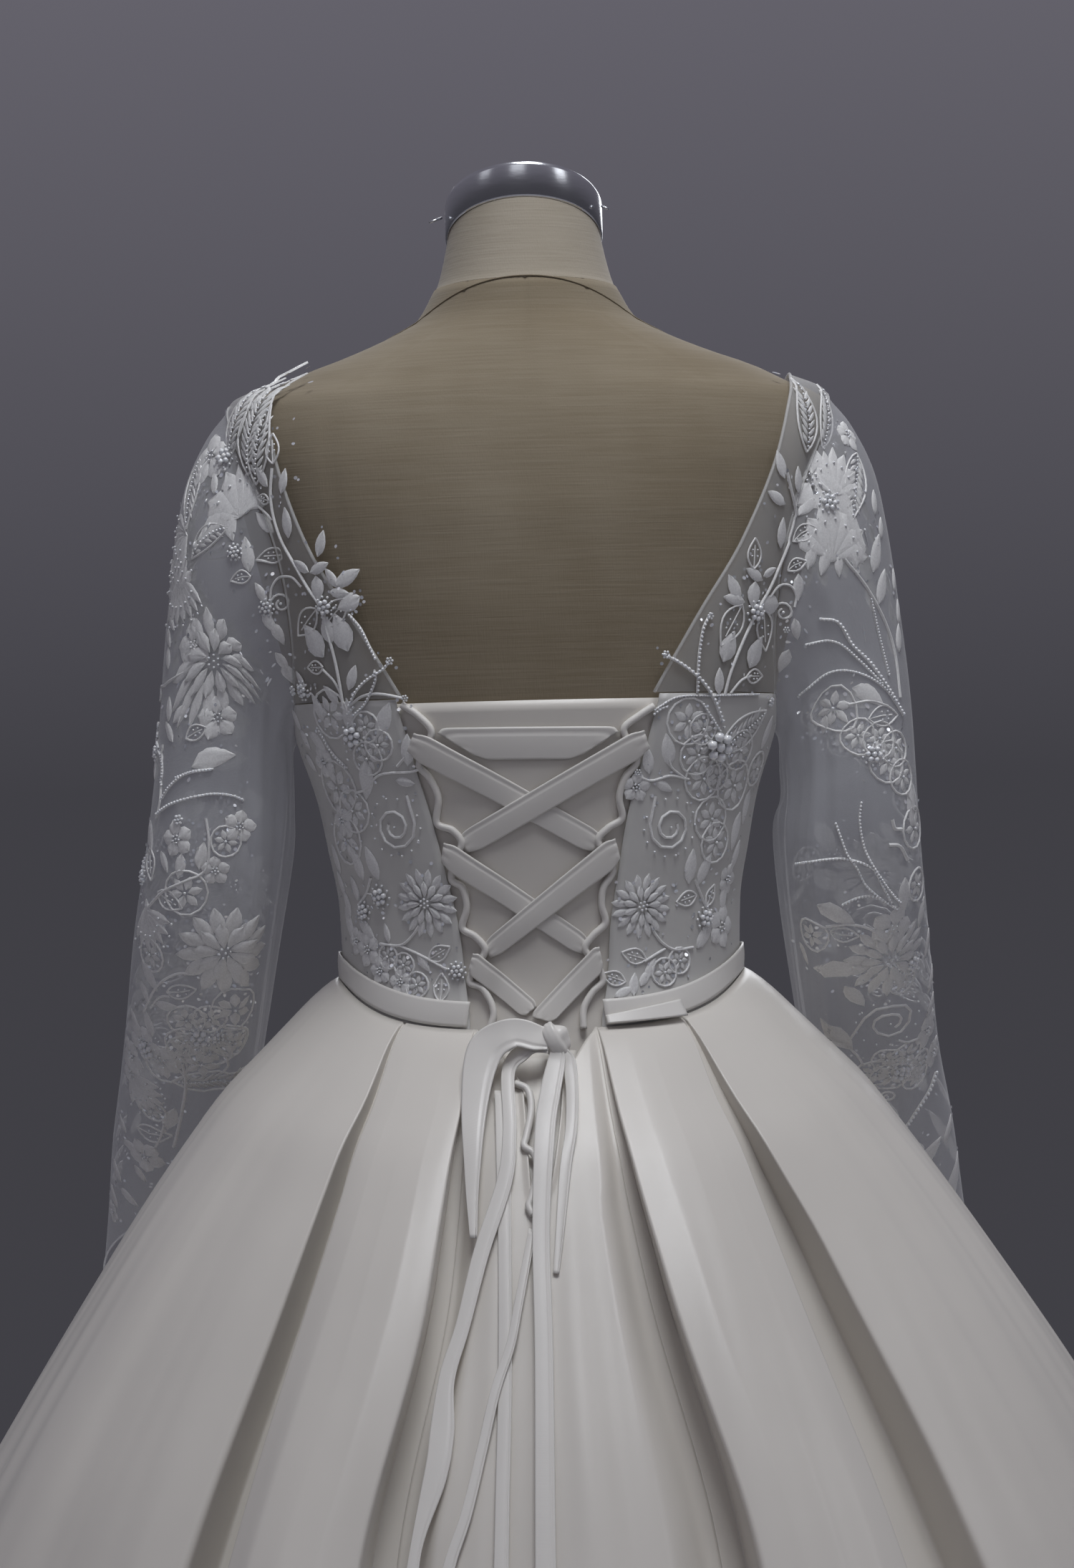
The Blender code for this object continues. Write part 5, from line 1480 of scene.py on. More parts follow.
bead_mesh = bmesh.new()
bmesh.ops.create_icosphere(bead_mesh, subdivisions=1, radius=1.0)
BEAD = corners_and_faces(bead_mesh)
sequin_mesh = bmesh.new()
bmesh.ops.create_circle(sequin_mesh, cap_ends=True, segments=7, radius=1.0)
SEQUIN = corners_and_faces(sequin_mesh)
print("triangles in a bead:", len(BEAD[1]), "in a sequin:", len(SEQUIN[1]))


def turn_by(points, degrees):
    """Turns flat points clockwise."""
    c, s = math.cos(math.radians(degrees)), math.sin(math.radians(degrees))
    turned = np.array(points, float)
    turned[:, 0], turned[:, 1] = points[:, 0] * c + points[:, 1] * s, points[:, 1] * c - points[:, 0] * s
    return turned


def half_round(line, beside, out, radius):
    """A half-round cord along a line, given the directions beside and out of it at each point."""
    across, along, faces = grid_of(4, len(line) - 1)
    step = np.rint(along * (len(line) - 1)).astype(int)
    turn = np.pi * (1 - across)
    corners = line[step] + beside[step] * (np.cos(turn) * radius)[:, None]
    corners += out[step] * (np.sin(turn) * radius * 1.3)[:, None]
    return corners, faces


class Sketch:
    """One motif drawn flat, in millimetres across, up and out, as parts with a finish each."""

    def __init__(self):
        self.parts = []

    def put(self, finish, corners, faces):
        self.parts.append([finish, corners, faces])

    def leaf(self, length, width, at=(0.0, 0.0), turn=0.0, high=0.75, base=0.0, blunt=0.85, detail=(4, 5)):
        """A padded leaf that starts at a point and grows along its turn."""
        across, along, faces = grid_of(*detail)
        across = 2 * across - 1
        half = width / 2 * (0.06 + np.sin(np.pi * along ** blunt) ** 0.8)
        pad = np.where(np.abs(across) > 0.9, 0.0, np.where(np.abs(across) > 0.2, 1.0, 0.42))
        out = high * pad * np.sin(np.pi * (0.12 + 0.80 * along)) ** 0.5
        corners = turn_by(np.stack([across * half, along * length, out + base], axis=1), turn)
        self.put("thread", corners + np.array((*at, 0.0)), faces)

    def cord(self, line, radius):
        """A half-round cord along a flat line."""
        line = np.array([(x, y, 0.0) for x, y in line])
        run = np.gradient(line, axis=0)
        run /= np.linalg.norm(run, axis=1, keepdims=True)
        out = np.tile((0.0, 0.0, 1.0), (len(line), 1))
        self.put("thread", *half_round(line, np.cross(run, out), out, radius))

    def beads(self, spots, radius, base=0.0):
        for x, y in spots:
            self.put("bead", BEAD[0] * radius + np.array((x, y, radius * 0.8 + base)), BEAD[1])

    def sequins(self, spots, radius, base=0.3):
        for x, y in spots:
            tip = SEQUIN[0] * radius
            tip[:, 2] = 0.35 * (tip[:, 0] * math.sin(7 * x + y) + tip[:, 1] * math.cos(5 * y - x)) + base
            self.put("sequin", tip + np.array((x, y, 0.0)), SEQUIN[1])


def ring_of(count, radius, start=0.0):
    """Points round a circle."""
    turns = [math.radians(start + 360 * k / count) for k in range(count)]
    return [(radius * math.sin(t), radius * math.cos(t)) for t in turns]


def bowed(length, width, count=9):
    """The two sides of a leaf's outline, from its foot to its tip."""
    shares = np.linspace(0.0, 1.0, count)
    half = width / 2 * np.sin(np.pi * shares ** 0.85)
    return [np.stack([side * half, shares * length - length / 2], axis=1) for side in (-1, 1)]


# %% [markdown]
# ## Embroidery: the motifs
# The motifs are ordinary ones: single leaves, open leaves with beads inside, long beaded feathers,
# shells, rounded lobes, small blossoms, many-petalled mums and lotus flowers, clusters of beads, and
# scrolls. Each is a function of its size alone, so one drawing serves every leaf of its kind.

# %% Leaves, feathers and shells
def draw_leaf(size):
    sketch = Sketch()
    sketch.leaf(size, 0.42 * size, at=(0, -size / 2), high=0.9)
    return sketch


def draw_petal(size):
    sketch = Sketch()
    sketch.leaf(size, 0.62 * size, at=(0, -size / 2), high=1.0, blunt=1.25)
    return sketch


def draw_open_leaf(size):
    sketch = Sketch()
    for line in bowed(size, 0.56 * size):
        sketch.cord(line, 0.55)
    sketch.cord([(0, -0.5 * size), (0, -0.1 * size), (0, 0.28 * size)], 0.40)
    inside = ((-0.11, -0.08), (0.11, -0.08), (-0.10, 0.12), (0.10, 0.12))
    sketch.beads([(x * size, y * size) for x, y in inside], 0.62)
    return sketch


def draw_feather(size):
    sketch = Sketch()
    for line in bowed(size, 0.40 * size, 11):
        sketch.cord(line, 0.60)
    count = max(4, round(size / 6.0))
    for k in range(count):
        y = (-0.38 + 0.70 * k / count) * size
        long = (0.17 + 0.04 * math.sin(math.pi * k / count)) * size
        for side in (-1, 1):
            sketch.leaf(long, 2.3, at=(side * 0.5, y), turn=side * 38, high=0.8, detail=(4, 3))
    sketch.beads([(0, (-0.42 + 0.84 * k / (2 * count)) * size) for k in range(2 * count + 1)], 0.72, 0.3)
    return sketch


def draw_shell(size):
    sketch = Sketch()
    for k in range(7):
        turn = -63 + 21 * k
        long = size * (0.98 - 0.10 * abs(k - 3) / 3)
        sketch.leaf(long, 0.24 * size, at=(0, -size / 2), turn=turn * 0.82, high=0.9, blunt=1.5)
        t = math.radians(turn * 0.82)
        tip = (long + 1.4) * math.sin(t), (long + 1.4) * math.cos(t) - size / 2
        sketch.beads([tip, (tip[0] * 0.62, (tip[1] + size / 2) * 0.62 - size / 2)], 0.75, 0.4)
    return sketch


def draw_lobe(size):
    sketch = Sketch()
    outline = np.array(ring_of(14, 0.46 * size) + ring_of(1, 0.46 * size))
    sketch.cord(outline, 0.65)
    for x, y in ring_of(6, 0.06 * size, 15):
        turn = math.degrees(math.atan2(x, y))
        sketch.leaf(0.30 * size, 0.17 * size, at=(x, y), turn=turn, high=0.7, detail=(4, 3))
    sketch.beads([(0, 0)], 0.9, 0.3)
    sketch.sequins(ring_of(6, 0.36 * size, 45), 1.1)
    return sketch


# %% Flowers, clusters and scrolls
def petals_round(sketch, count, inner, outer, width, high, start=0.0, base=0.0, blunt=1.2, detail=(4, 4)):
    for x, y in ring_of(count, inner, start):
        turn = math.degrees(math.atan2(x, y))
        sketch.leaf(outer - inner, width, at=(x, y), turn=turn, high=high, base=base, blunt=blunt,
                    detail=detail)


def draw_blossom(size):
    sketch = Sketch()
    petals_round(sketch, 5, 0.08 * size, 0.50 * size, 0.40 * size, 1.0)
    sketch.beads([(0, 0)] + ring_of(5, 0.075 * size + 0.5, 36), 0.72, 0.3)
    return sketch


def draw_mum(size):
    sketch = Sketch()
    petals_round(sketch, 16, 0.20 * size, 0.50 * size, 0.115 * size, 1.0)
    petals_round(sketch, 11, 0.09 * size, 0.32 * size, 0.105 * size, 1.0, 12, 0.8)
    sketch.beads([(0, 0)] + ring_of(6, 0.050 * size + 0.5, 10), 0.8, 1.2)
    sketch.sequins(ring_of(8, 0.40 * size, 11), 1.1, 1.0)
    return sketch


def draw_lotus(size):
    sketch = Sketch()
    petals_round(sketch, 13, 0.14 * size, 0.50 * size, 0.150 * size, 1.2, blunt=1.1, detail=(4, 5))
    petals_round(sketch, 9, 0.05 * size, 0.33 * size, 0.125 * size, 1.0, 18, 1.0)
    sketch.sequins(ring_of(13, 0.40 * size, 14), 0.9, 0.8)
    sketch.beads([(0, 0)] + ring_of(6, 0.05 * size + 0.5, 10), 0.85, 1.4)
    return sketch


def draw_berry(size):
    sketch = Sketch()
    sketch.beads([(0, 0)] + ring_of(6, 0.24 * size, 30), max(0.7, 0.12 * size), 0.2)
    if size > 9:
        sketch.beads(ring_of(10, 0.45 * size), 0.85)
    return sketch


def spiral(size, rounds, tail, hand=1):
    """A scroll's line: from its foot, round and in."""
    turns = np.linspace(0.0, rounds * 2 * math.pi, 8 * math.ceil(rounds) + 1)
    reach = size / 2 * (1 - 0.68 * turns / turns[-1])
    points = [(hand * -reach[0], -tail)]
    points += [(hand * -r * math.cos(t), r * math.sin(t)) for t, r in zip(turns, reach)]
    return np.array(points)


def draw_curl(size):
    sketch = Sketch()
    sketch.cord(spiral(0.7 * size, 1.2, 0.5 * size), 0.65)
    sketch.beads([(0, 0)], 1.0)
    return sketch


def draw_scroll(size, hand=1):
    sketch = Sketch()
    sketch.cord(spiral(size, 1.6, 0.6 * size, hand), 0.85)
    sketch.beads([(0, 0)] + ring_of(14, 0.62 * size), 0.75)
    return sketch


DRAWINGS = {"leaf": draw_leaf, "petal": draw_petal, "open_leaf": draw_open_leaf, "feather": draw_feather,
            "shell": draw_shell, "lobe": draw_lobe, "blossom": draw_blossom, "mum": draw_mum,
            "lotus": draw_lotus, "berry": draw_berry, "curl": draw_curl, "scroll": draw_scroll,
            "scroll_right": lambda size: draw_scroll(size, -1)}
print("kinds of motif:", len(DRAWINGS))

# %% [markdown]
# ## Embroidery: the layout
# Where each motif sits was read off the photograph: the pixel of its middle, the way it points, clockwise
# from up, and its size in millimetres. Stems and strings of beads run through their own lists of pixels.
# The left and right sides differ a little, as handwork does, so each has its own table.

# %% The layout of the left side
Motif = namedtuple("Motif", "kind px py turn size")
Route = namedtuple("Route", "kind radius pixels")

LEFT_MOTIFS = [Motif(kind, *row) for kind, rows in {
    "open_leaf": [(381, 627, 5, 17), (369, 697, -60, 10), (379, 776, -85, 15), (429, 869, -115, 23),
        (470, 854, 60, 22), (441, 932, -75, 13), (336, 806, -90, 13), (274, 1022, 75, 15),
        (614, 1331, 70, 15), (617, 1379, 10, 16), (210, 1207, 185, 19), (235, 1258, 130, 19),
        (253, 1385, 80, 18), (213, 1584, 120, 24)],
    "leaf": [(366, 666, -25, 15), (396, 672, 25, 14), (369, 730, -38, 16), (401, 730, 8, 17),
        (448, 759, 28, 15), (421, 791, -45, 13), (446, 793, 80, 14), (485, 807, 70, 18),
        (463, 807, -25, 13), (474, 828, 105, 13), (492, 946, 35, 15), (463, 970, -30, 14),
        (445, 988, -5, 17), (421, 950, -12, 12), (364, 828, -20, 13), (377, 871, 150, 14),
        (389, 885, 160, 14), (394, 923, -20, 13), (404, 942, 160, 14), (416, 1006, 170, 14),
        (428, 1033, 170, 14), (436, 1065, 160, 14), (345, 774, 0, 20), (317, 722, 170, 28),
        (299, 674, 0, 13), (256, 912, 0, 12), (236, 891, -10, 12), (236, 920, 10, 13), (236, 990, 15, 14),
        (250, 996, 55, 14), (236, 1022, -20, 14), (298, 1057, 80, 26), (240, 871, -30, 11),
        (236, 784, 0, 12), (536, 1005, 35, 21), (512, 1089, 205, 23), (486, 997, 20, 17),
        (569, 1047, 12, 18), (566, 1092, 110, 12), (500, 1206, 0, 20), (520, 1205, -5, 20),
        (497, 1241, 5, 15), (513, 1298, 140, 17), (541, 1303, 0, 11), (489, 1289, -10, 20),
        (487, 1263, 0, 17), (592, 1345, 150, 12), (471, 1199, 5, 18), (478, 1233, 0, 15),
        (445, 1036, 150, 18), (218, 1047, 0, 15), (217, 1072, 180, 14), (229, 1204, 170, 13),
        (251, 1210, 200, 15), (210, 1169, 175, 20), (281, 1195, 10, 16), (231, 1405, 110, 15),
        (206, 1275, 10, 16), (208, 1363, 175, 20), (202, 1386, 190, 14), (207, 1429, 25, 18),
        (188, 1424, 0, 14), (238, 1562, 20, 22), (182, 1601, -50, 17), (195, 1639, 180, 13),
        (163, 1635, 0, 15), (159, 1670, 5, 15), (179, 1672, 150, 17), (171, 1569, 0, 12)],
    "petal": [(444, 822, 8, 14), (439, 895, 160, 22), (477, 883, 172, 22), (458, 879, 180, 16),
        (487, 842, 75, 16)],
    "berry": [(455, 848, 0, 13), (425, 964, 0, 12), (545, 923, 0, 7), (566, 975, 0, 6), (373, 848, 0, 10),
        (412, 964, 0, 9), (328, 771, 0, 10), (315, 638, 0, 15), (215, 1041, 0, 11), (494, 1028, 0, 17),
        (533, 1252, 0, 15), (510, 1273, 0, 13), (639, 1356, 0, 11), (250, 1145, 0, 9), (202, 1229, 0, 11),
        (279, 1448, 0, 17), (304, 1448, 0, 12), (206, 1465, 0, 16)],
    "curl": [(392, 843, 0, 17)],
    "feather": [(353, 595, 22, 58), (331, 587, 30, 46), (361, 622, 18, 44), (267, 686, 190, 42),
        (289, 749, 72, 32), (295, 1509, 60, 46)],
    "shell": [(337, 680, 0, 32), (249, 759, -100, 30), (247, 802, 0, 28), (253, 838, 180, 28),
        (209, 1298, 180, 26), (199, 1528, 180, 30)],
    "blossom": [(294, 637, 0, 32), (271, 901, 0, 25), (304, 1002, 0, 24), (480, 1146, 0, 19),
        (515, 1326, 0, 21), (532, 1356, 0, 17), (560, 1372, 0, 16), (500, 1314, 0, 17), (454, 1064, 0, 20),
        (246, 1172, 0, 21), (334, 1154, 0, 19), (300, 1216, 0, 17), (199, 1455, 0, 28), (224, 1480, 0, 27),
        (184, 1474, 0, 26), (185, 1500, 0, 28), (202, 1615, 0, 26), (158, 1692, 0, 15)],
    "mum": [(300, 923, 0, 60), (595, 1261, 0, 38)],
    "lobe": [(511, 1015, -50, 19), (529, 1040, 85, 19), (514, 1059, 150, 21), (462, 997, -20, 30),
        (473, 1099, -20, 34), (495, 1132, 60, 27), (485, 1172, 170, 30), (543, 1336, 0, 15),
        (565, 1348, 0, 15), (583, 1376, 10, 16), (315, 1175, 30, 19), (258, 1247, 72, 28),
        (210, 1333, 175, 22), (260, 1424, -25, 24), (292, 1423, 0, 22), (328, 1410, 45, 34),
        (328, 1456, 100, 23), (257, 1455, -105, 24), (292, 1471, 180, 26), (229, 1489, 70, 30),
        (259, 1465, 170, 24), (281, 1486, 100, 32), (320, 1454, 60, 28), (212, 1550, 175, 20)],
    "scroll": [(552, 1155, 180, 26)],
    "lotus": [(313, 1329, 0, 56)],
}.items() for row in rows]
LEFT_ROUTES = [Route(*row) for row in (
    ("stem", 0.9, [(481, 990), (475, 954), (468, 919), (458, 883), (448, 848), (430, 820),
        (412, 788), (394, 755), (383, 721), (379, 689), (381, 654)]),
    ("stem", 0.7, [(452, 935), (468, 952), (479, 974)]),
    ("stem", 0.7, [(422, 820), (408, 806), (389, 807), (379, 821), (377, 838)]),
    ("beaded", 0.9, [(489, 985), (499, 964), (515, 948), (535, 935), (543, 925)]),
    ("stem", 0.8, [(489, 985), (507, 972), (531, 969), (563, 975)]),
    ("beaded", 0.8, [(489, 859), (504, 877), (515, 899), (525, 920)]),
    ("beaded", 0.8, [(495, 998), (511, 982), (525, 950), (523, 935)]),
    ("stem", 0.8, [(223, 979), (230, 958), (245, 946), (258, 939)]),
    ("stem", 1.0, [(394, 512), (391, 527), (377, 545), (364, 557), (353, 573)]),
    ("beaded", 0.7, [(246, 1086), (270, 1077), (298, 1074)]),
    ("beaded", 0.7, [(226, 1097), (227, 1065), (219, 1033), (215, 1002)]),
    ("stem", 0.7, [(357, 703), (373, 717), (381, 727)]),
    ("stem", 0.8, [(591, 1072), (573, 1078), (546, 1079), (527, 1084), (513, 1101), (499, 1107)]),
    ("beaded", 0.8, [(446, 1016), (465, 1050), (487, 1073)]),
    ("stem", 0.8, [(519, 1225), (513, 1247), (502, 1264)]),
    ("stem", 0.6, [(521, 1249), (514, 1247)]),
    ("stem", 0.8, [(586, 1292), (577, 1306), (560, 1320), (532, 1318)]),
    ("stem", 0.8, [(560, 1321), (588, 1334), (625, 1354)]),
    ("beaded", 0.8, [(487, 997), (496, 986)]),
    ("stem", 0.8, [(555, 1070), (560, 1064), (566, 1057)]),
    ("stem", 0.8, [(228, 1040), (226, 1075), (224, 1116), (219, 1143)]),
    ("beaded", 0.8, [(227, 1115), (237, 1099), (254, 1084), (272, 1078), (295, 1075)]),
    ("beaded", 0.9, [(220, 1137), (237, 1124), (263, 1115), (295, 1109), (322, 1111), (339, 1118)]),
    ("stem", 0.8, [(287, 1143), (291, 1172), (290, 1204), (281, 1220), (257, 1231), (228, 1245),
        (208, 1266)]),
    ("stem", 0.8, [(201, 1412), (219, 1377), (246, 1360), (272, 1360)]),
    ("stem", 0.7, [(210, 1407), (222, 1393), (237, 1391)]),
    ("stem", 1.0, [(254, 1484), (259, 1513), (254, 1550), (247, 1582), (242, 1601)]),
    ("stem", 0.8, [(229, 1569), (224, 1587), (217, 1601)]),
)]

print("left:", len(LEFT_MOTIFS), "motifs,", len(LEFT_ROUTES), "stems and strings")

# %% The layout of the right side
RIGHT_MOTIFS = [Motif(kind, *row) for kind, rows in {
    "leaf": [(1083, 695, -75, 15), (1090, 744, -12, 17), (1089, 649, -30, 16), (1052, 802, -75, 14),
        (1073, 799, 50, 11), (1024, 821, -40, 17), (1024, 837, -90, 15), (1003, 951, -15, 15),
        (1113, 670, -20, 15), (1125, 706, 40, 15), (1132, 776, 10, 16), (1151, 784, 190, 17),
        (1171, 790, 170, 13), (1220, 701, 0, 15), (1229, 737, 0, 13), (1223, 772, 10, 24),
        (1231, 819, 10, 22), (1247, 810, 0, 14), (1254, 891, 0, 17), (1253, 854, 0, 15),
        (1151, 1012, 200, 11), (1212, 968, 110, 22), (1114, 820, 170, 15), (1111, 879, 160, 13),
        (1093, 923, 190, 15), (1195, 771, -10, 18), (932, 1047, -20, 19), (904, 1062, -15, 15),
        (926, 1098, 110, 12), (982, 1213, 10, 19), (963, 1210, -10, 20), (1008, 1249, -10, 18),
        (982, 1306, 30, 19), (907, 1353, 20, 13), (884, 1375, 0, 13), (900, 1365, 30, 12),
        (870, 1386, 60, 12), (1025, 1160, 175, 22), (1025, 1193, 0, 17), (1039, 1126, 170, 20),
        (1069, 1022, 0, 20), (1272, 1123, 165, 24), (1262, 1251, 155, 22), (1286, 1273, 175, 18),
        (1123, 1330, 200, 14), (1168, 1277, 140, 24), (1173, 1353, 110, 30), (1294, 1317, 170, 18),
        (1299, 1367, 175, 18), (1299, 1402, 10, 16), (1193, 1391, 140, 22), (1167, 1447, -58, 34),
        (1297, 1612, 25, 27), (1283, 1602, -60, 12), (1331, 1651, 5, 40), (1324, 1576, 10, 19)],
    "open_leaf": [(1121, 743, 55, 16), (1052, 773, -10, 17), (1020, 873, -160, 26), (1066, 880, 150, 24),
        (1052, 944, 75, 14), (1111, 788, 60, 12), (1234, 999, 75, 21), (990, 1250, 10, 13),
        (884, 1335, -80, 15), (957, 1255, -115, 15), (856, 1366, -75, 14), (1179, 1306, 100, 17)],
    "petal": [(1051, 831, -10, 15), (1016, 903, 190, 18), (1053, 911, 190, 19), (1073, 844, 75, 17)],
    "berry": [(1053, 855, 0, 14), (990, 860, 0, 6), (928, 914, 0, 7), (1156, 701, 0, 14),
        (1219, 1053, 0, 14), (1073, 980, 0, 8), (1097, 879, 0, 6), (1000, 1042, 0, 25), (889, 1078, 0, 6),
        (982, 1282, 0, 14), (1272, 1344, 0, 14), (1257, 1496, 0, 16)],
    "curl": [(1093, 855, 0, 17), (1239, 1531, 0, 16)],
    "feather": [(1126, 582, -5, 42), (1153, 584, 10, 40), (1194, 676, 190, 44), (1039, 1019, 45, 44)],
    "blossom": [(1133, 669, 0, 38), (1182, 607, 0, 19), (887, 1099, 0, 17), (1013, 1227, 0, 18),
        (1005, 1294, 0, 25), (1246, 1297, 0, 28), (1294, 1438, 0, 26), (1302, 1469, 0, 21)],
    "shell": [(1163, 656, 0, 30), (1164, 737, 0, 38)],
    "lobe": [(1163, 989, 0, 28), (1197, 1027, -55, 22), (1227, 1031, 0, 22), (1249, 1045, 20, 22),
        (1239, 1063, 130, 26), (1259, 1085, 150, 22), (960, 1007, -25, 28), (980, 1018, 0, 19),
        (973, 1054, -90, 25), (980, 1087, 200, 27), (1031, 1047, 62, 25), (1000, 1084, 180, 17),
        (1022, 1096, 130, 31), (991, 1143, -30, 27), (997, 1176, 200, 25), (947, 1342, 0, 16),
        (926, 1358, 0, 17), (1053, 1073, 20, 22), (1275, 1157, 170, 26), (1280, 1235, 0, 21),
        (1133, 1306, -30, 23), (1261, 1370, 160, 20), (1238, 1479, 0, 21), (1266, 1474, 20, 26),
        (1283, 1484, 60, 20), (1222, 1499, -80, 27), (1243, 1503, 185, 28), (1279, 1502, 150, 22)],
    "scroll_right": [(935, 1155, 180, 26)],
    "mum": [(895, 1265, 0, 36), (1243, 1339, 0, 56)],
    "scroll": [(1243, 1429, 0, 34)],
}.items() for row in rows]
RIGHT_ROUTES = [Route(*row) for row in (
    ("stem", 0.9, [(1010, 970), (1018, 940), (1029, 911), (1041, 883), (1057, 850), (1073, 821),
        (1089, 784), (1101, 753), (1109, 719), (1103, 686), (1097, 660)]),
    ("stem", 0.7, [(1073, 834), (1086, 818), (1103, 818), (1111, 832), (1109, 848)]),
    ("beaded", 0.9, [(990, 857), (980, 879), (974, 919), (972, 968)]),
    ("beaded", 1.1, [(926, 914), (950, 927), (976, 948), (994, 974), (1006, 1006)]),
    ("beaded", 0.7, [(913, 991), (946, 973), (998, 971), (1057, 969)]),
    ("beaded", 1.0, [(1144, 864), (1169, 869), (1188, 899), (1215, 927), (1239, 962), (1260, 999)]),
    ("beaded", 0.8, [(1124, 900), (1160, 895), (1188, 912), (1232, 956)]),
    ("beaded", 0.8, [(1114, 973), (1156, 940), (1195, 939), (1232, 959), (1255, 990)]),
    ("stem", 0.9, [(1178, 780), (1209, 820), (1235, 869), (1249, 915), (1256, 974)]),
    ("beaded", 0.7, [(1215, 837), (1227, 891), (1240, 943)]),
    ("stem", 0.7, [(1018, 968), (1033, 950), (1047, 943)]),
    ("stem", 0.7, [(1184, 984), (1215, 979), (1239, 986)]),
    ("beaded", 0.8, [(980, 983), (994, 1006), (1005, 1023)]),
    ("stem", 0.8, [(960, 1088), (935, 1083), (907, 1090), (884, 1080)]),
    ("stem", 0.7, [(953, 1085), (938, 1073), (932, 1061)]),
    ("stem", 0.8, [(968, 1227), (980, 1258), (989, 1275)]),
    ("stem", 0.8, [(906, 1292), (921, 1314), (940, 1326), (966, 1323)]),
    ("stem", 0.8, [(898, 1343), (912, 1334), (927, 1325)]),
    ("beaded", 0.8, [(912, 997), (921, 990), (932, 986)]),
    ("beaded", 0.8, [(1202, 1121), (1200, 1147), (1205, 1179), (1214, 1200), (1228, 1224),
        (1246, 1250), (1258, 1262)]),
    ("beaded", 0.8, [(1167, 1150), (1174, 1171), (1183, 1194), (1196, 1212), (1208, 1235),
        (1231, 1256), (1252, 1270)]),
    ("beaded", 0.8, [(1113, 1206), (1155, 1200), (1184, 1200), (1217, 1212), (1232, 1238),
        (1244, 1262)]),
    ("beaded", 0.8, [(1176, 1263), (1196, 1254), (1217, 1251), (1235, 1259)]),
    ("stem", 1.0, [(1245, 1144), (1249, 1157), (1258, 1158)]),
    ("stem", 1.0, [(1240, 1180), (1256, 1182), (1266, 1201)]),
    ("stem", 0.8, [(1152, 1294), (1187, 1291), (1214, 1297), (1234, 1311)]),
    ("stem", 0.8, [(1265, 1106), (1272, 1127), (1277, 1156)]),
    ("beaded", 1.1, [(1305, 1497), (1296, 1522), (1282, 1545), (1269, 1566), (1260, 1580)]),
    ("stem", 0.8, [(1184, 1461), (1197, 1474), (1205, 1487)]),
    ("stem", 0.8, [(1238, 1538), (1251, 1553), (1255, 1569)]),
    ("stem", 0.7, [(1253, 1452), (1266, 1455), (1279, 1451)]),
)]

print("right:", len(RIGHT_MOTIFS), "motifs,", len(RIGHT_ROUTES), "stems and strings")

# %% [markdown]
# ## Embroidery: working it
# The layout is worked through one side at a time, and the parts of each finish are gathered and made into
# one piece, because thousands of tiny objects would be slow to handle. The photograph doesn't show the
# front, so the same sprays are repeated there, mirrored, as a dressmaker would repeat the drawing.

# %% Gathering and making
FINISHES = {"thread": thread, "bead": bead_glass, "sequin": sequin}


class Work:
    """All of one side's embroidery, gathered by finish."""

    def __init__(self):
        self.gathered = {finish: [] for finish in FINISHES}

    def take(self, finish, places, faces):
        self.gathered[finish].append((places, faces))

    def lay(self, sketch, seat, turn, mirrored=False):
        for finish, corners, faces in sketch.parts:
            places = spread(seat, turn_by(corners, turn), mirrored)
            self.take(finish, places, faces[:, ::-1] if mirrored else faces)

    def make(self, word):
        """Makes one piece of each finish."""
        for finish, parts in self.gathered.items():
            corners, faces, count = [], [], 0
            for places, triangles in parts:
                corners.append(places)
                faces.append(triangles + count)
                count += len(places)
            data = bpy.data.meshes.new(f"embroidery_{finish}_{word}")
            data.from_pydata(np.concatenate(corners).tolist(), [], np.concatenate(faces).tolist())
            mesh = bmesh.new()
            mesh.from_mesh(data)
            bpy.data.meshes.remove(data)
            piece = add_piece(f"embroidery_{finish}_{word}", mesh, FINISHES[finish])
            print(piece.name, "triangles:", len(piece.data.polygons))


# %% Stems and strings of beads
def route_places(side, route):
    """The places and outward directions along a route."""
    smooth = rounded([(x, y, 0) for x, y in route.pixels], 6)
    seats = seats_at(side, [(p.x, p.y) for p in smooth])
    places, outs = [], []
    for seat in seats:
        point, out = seat.ground.at(np.array([seat.u]), np.array([seat.v]))
        places.append(point[0] + out[0] * seat.ground.lift)
        outs.append(out[0])
    return np.array(places), np.array(outs)


def work_route(work, side, route):
    """Works a stem, or a string of beads on a thinner stem, along its route."""
    places, outs = route_places(side, route)
    run = np.gradient(places, axis=0)
    run /= np.linalg.norm(run, axis=1, keepdims=True) + 1e-9
    radius = route.radius * MM * (0.75 if route.kind == "beaded" else 1.0)
    work.take("thread", *half_round(places, np.cross(run, outs), outs, radius))
    if route.kind == "beaded":
        lengths = np.concatenate([[0], np.cumsum(np.linalg.norm(np.diff(places, axis=0), axis=1))])
        spacing = 2.5 * route.radius * MM
        for reach in np.arange(0, lengths[-1], spacing):
            spot = np.array([np.interp(reach, lengths, places[:, n]) for n in range(3)])
            out = outs[min(len(outs) - 1, np.searchsorted(lengths, reach))]
            middle = spot + out * (route.radius * 1.1 * MM)
            work.take("bead", BEAD[0] * route.radius * MM * 1.05 + middle, BEAD[1])


# %% Working both sides
def on_cloth_in_front(seat):
    """Whether a mirrored seat on the bodice still lies on the satin, below its front edge."""
    if seat.ground is not TORSO_GROUND:
        return True
    angle = 360 * seat.u / GROUND_AROUND - 180
    folded = abs((angle + 180) % 360 - 180)
    z = float(seat.ground.at(np.array([seat.u]), np.array([seat.v]))[0][0, 2])
    return folded > 100 and bodice_bottom(folded) + 0.014 < z < bodice_top(folded) - 0.012


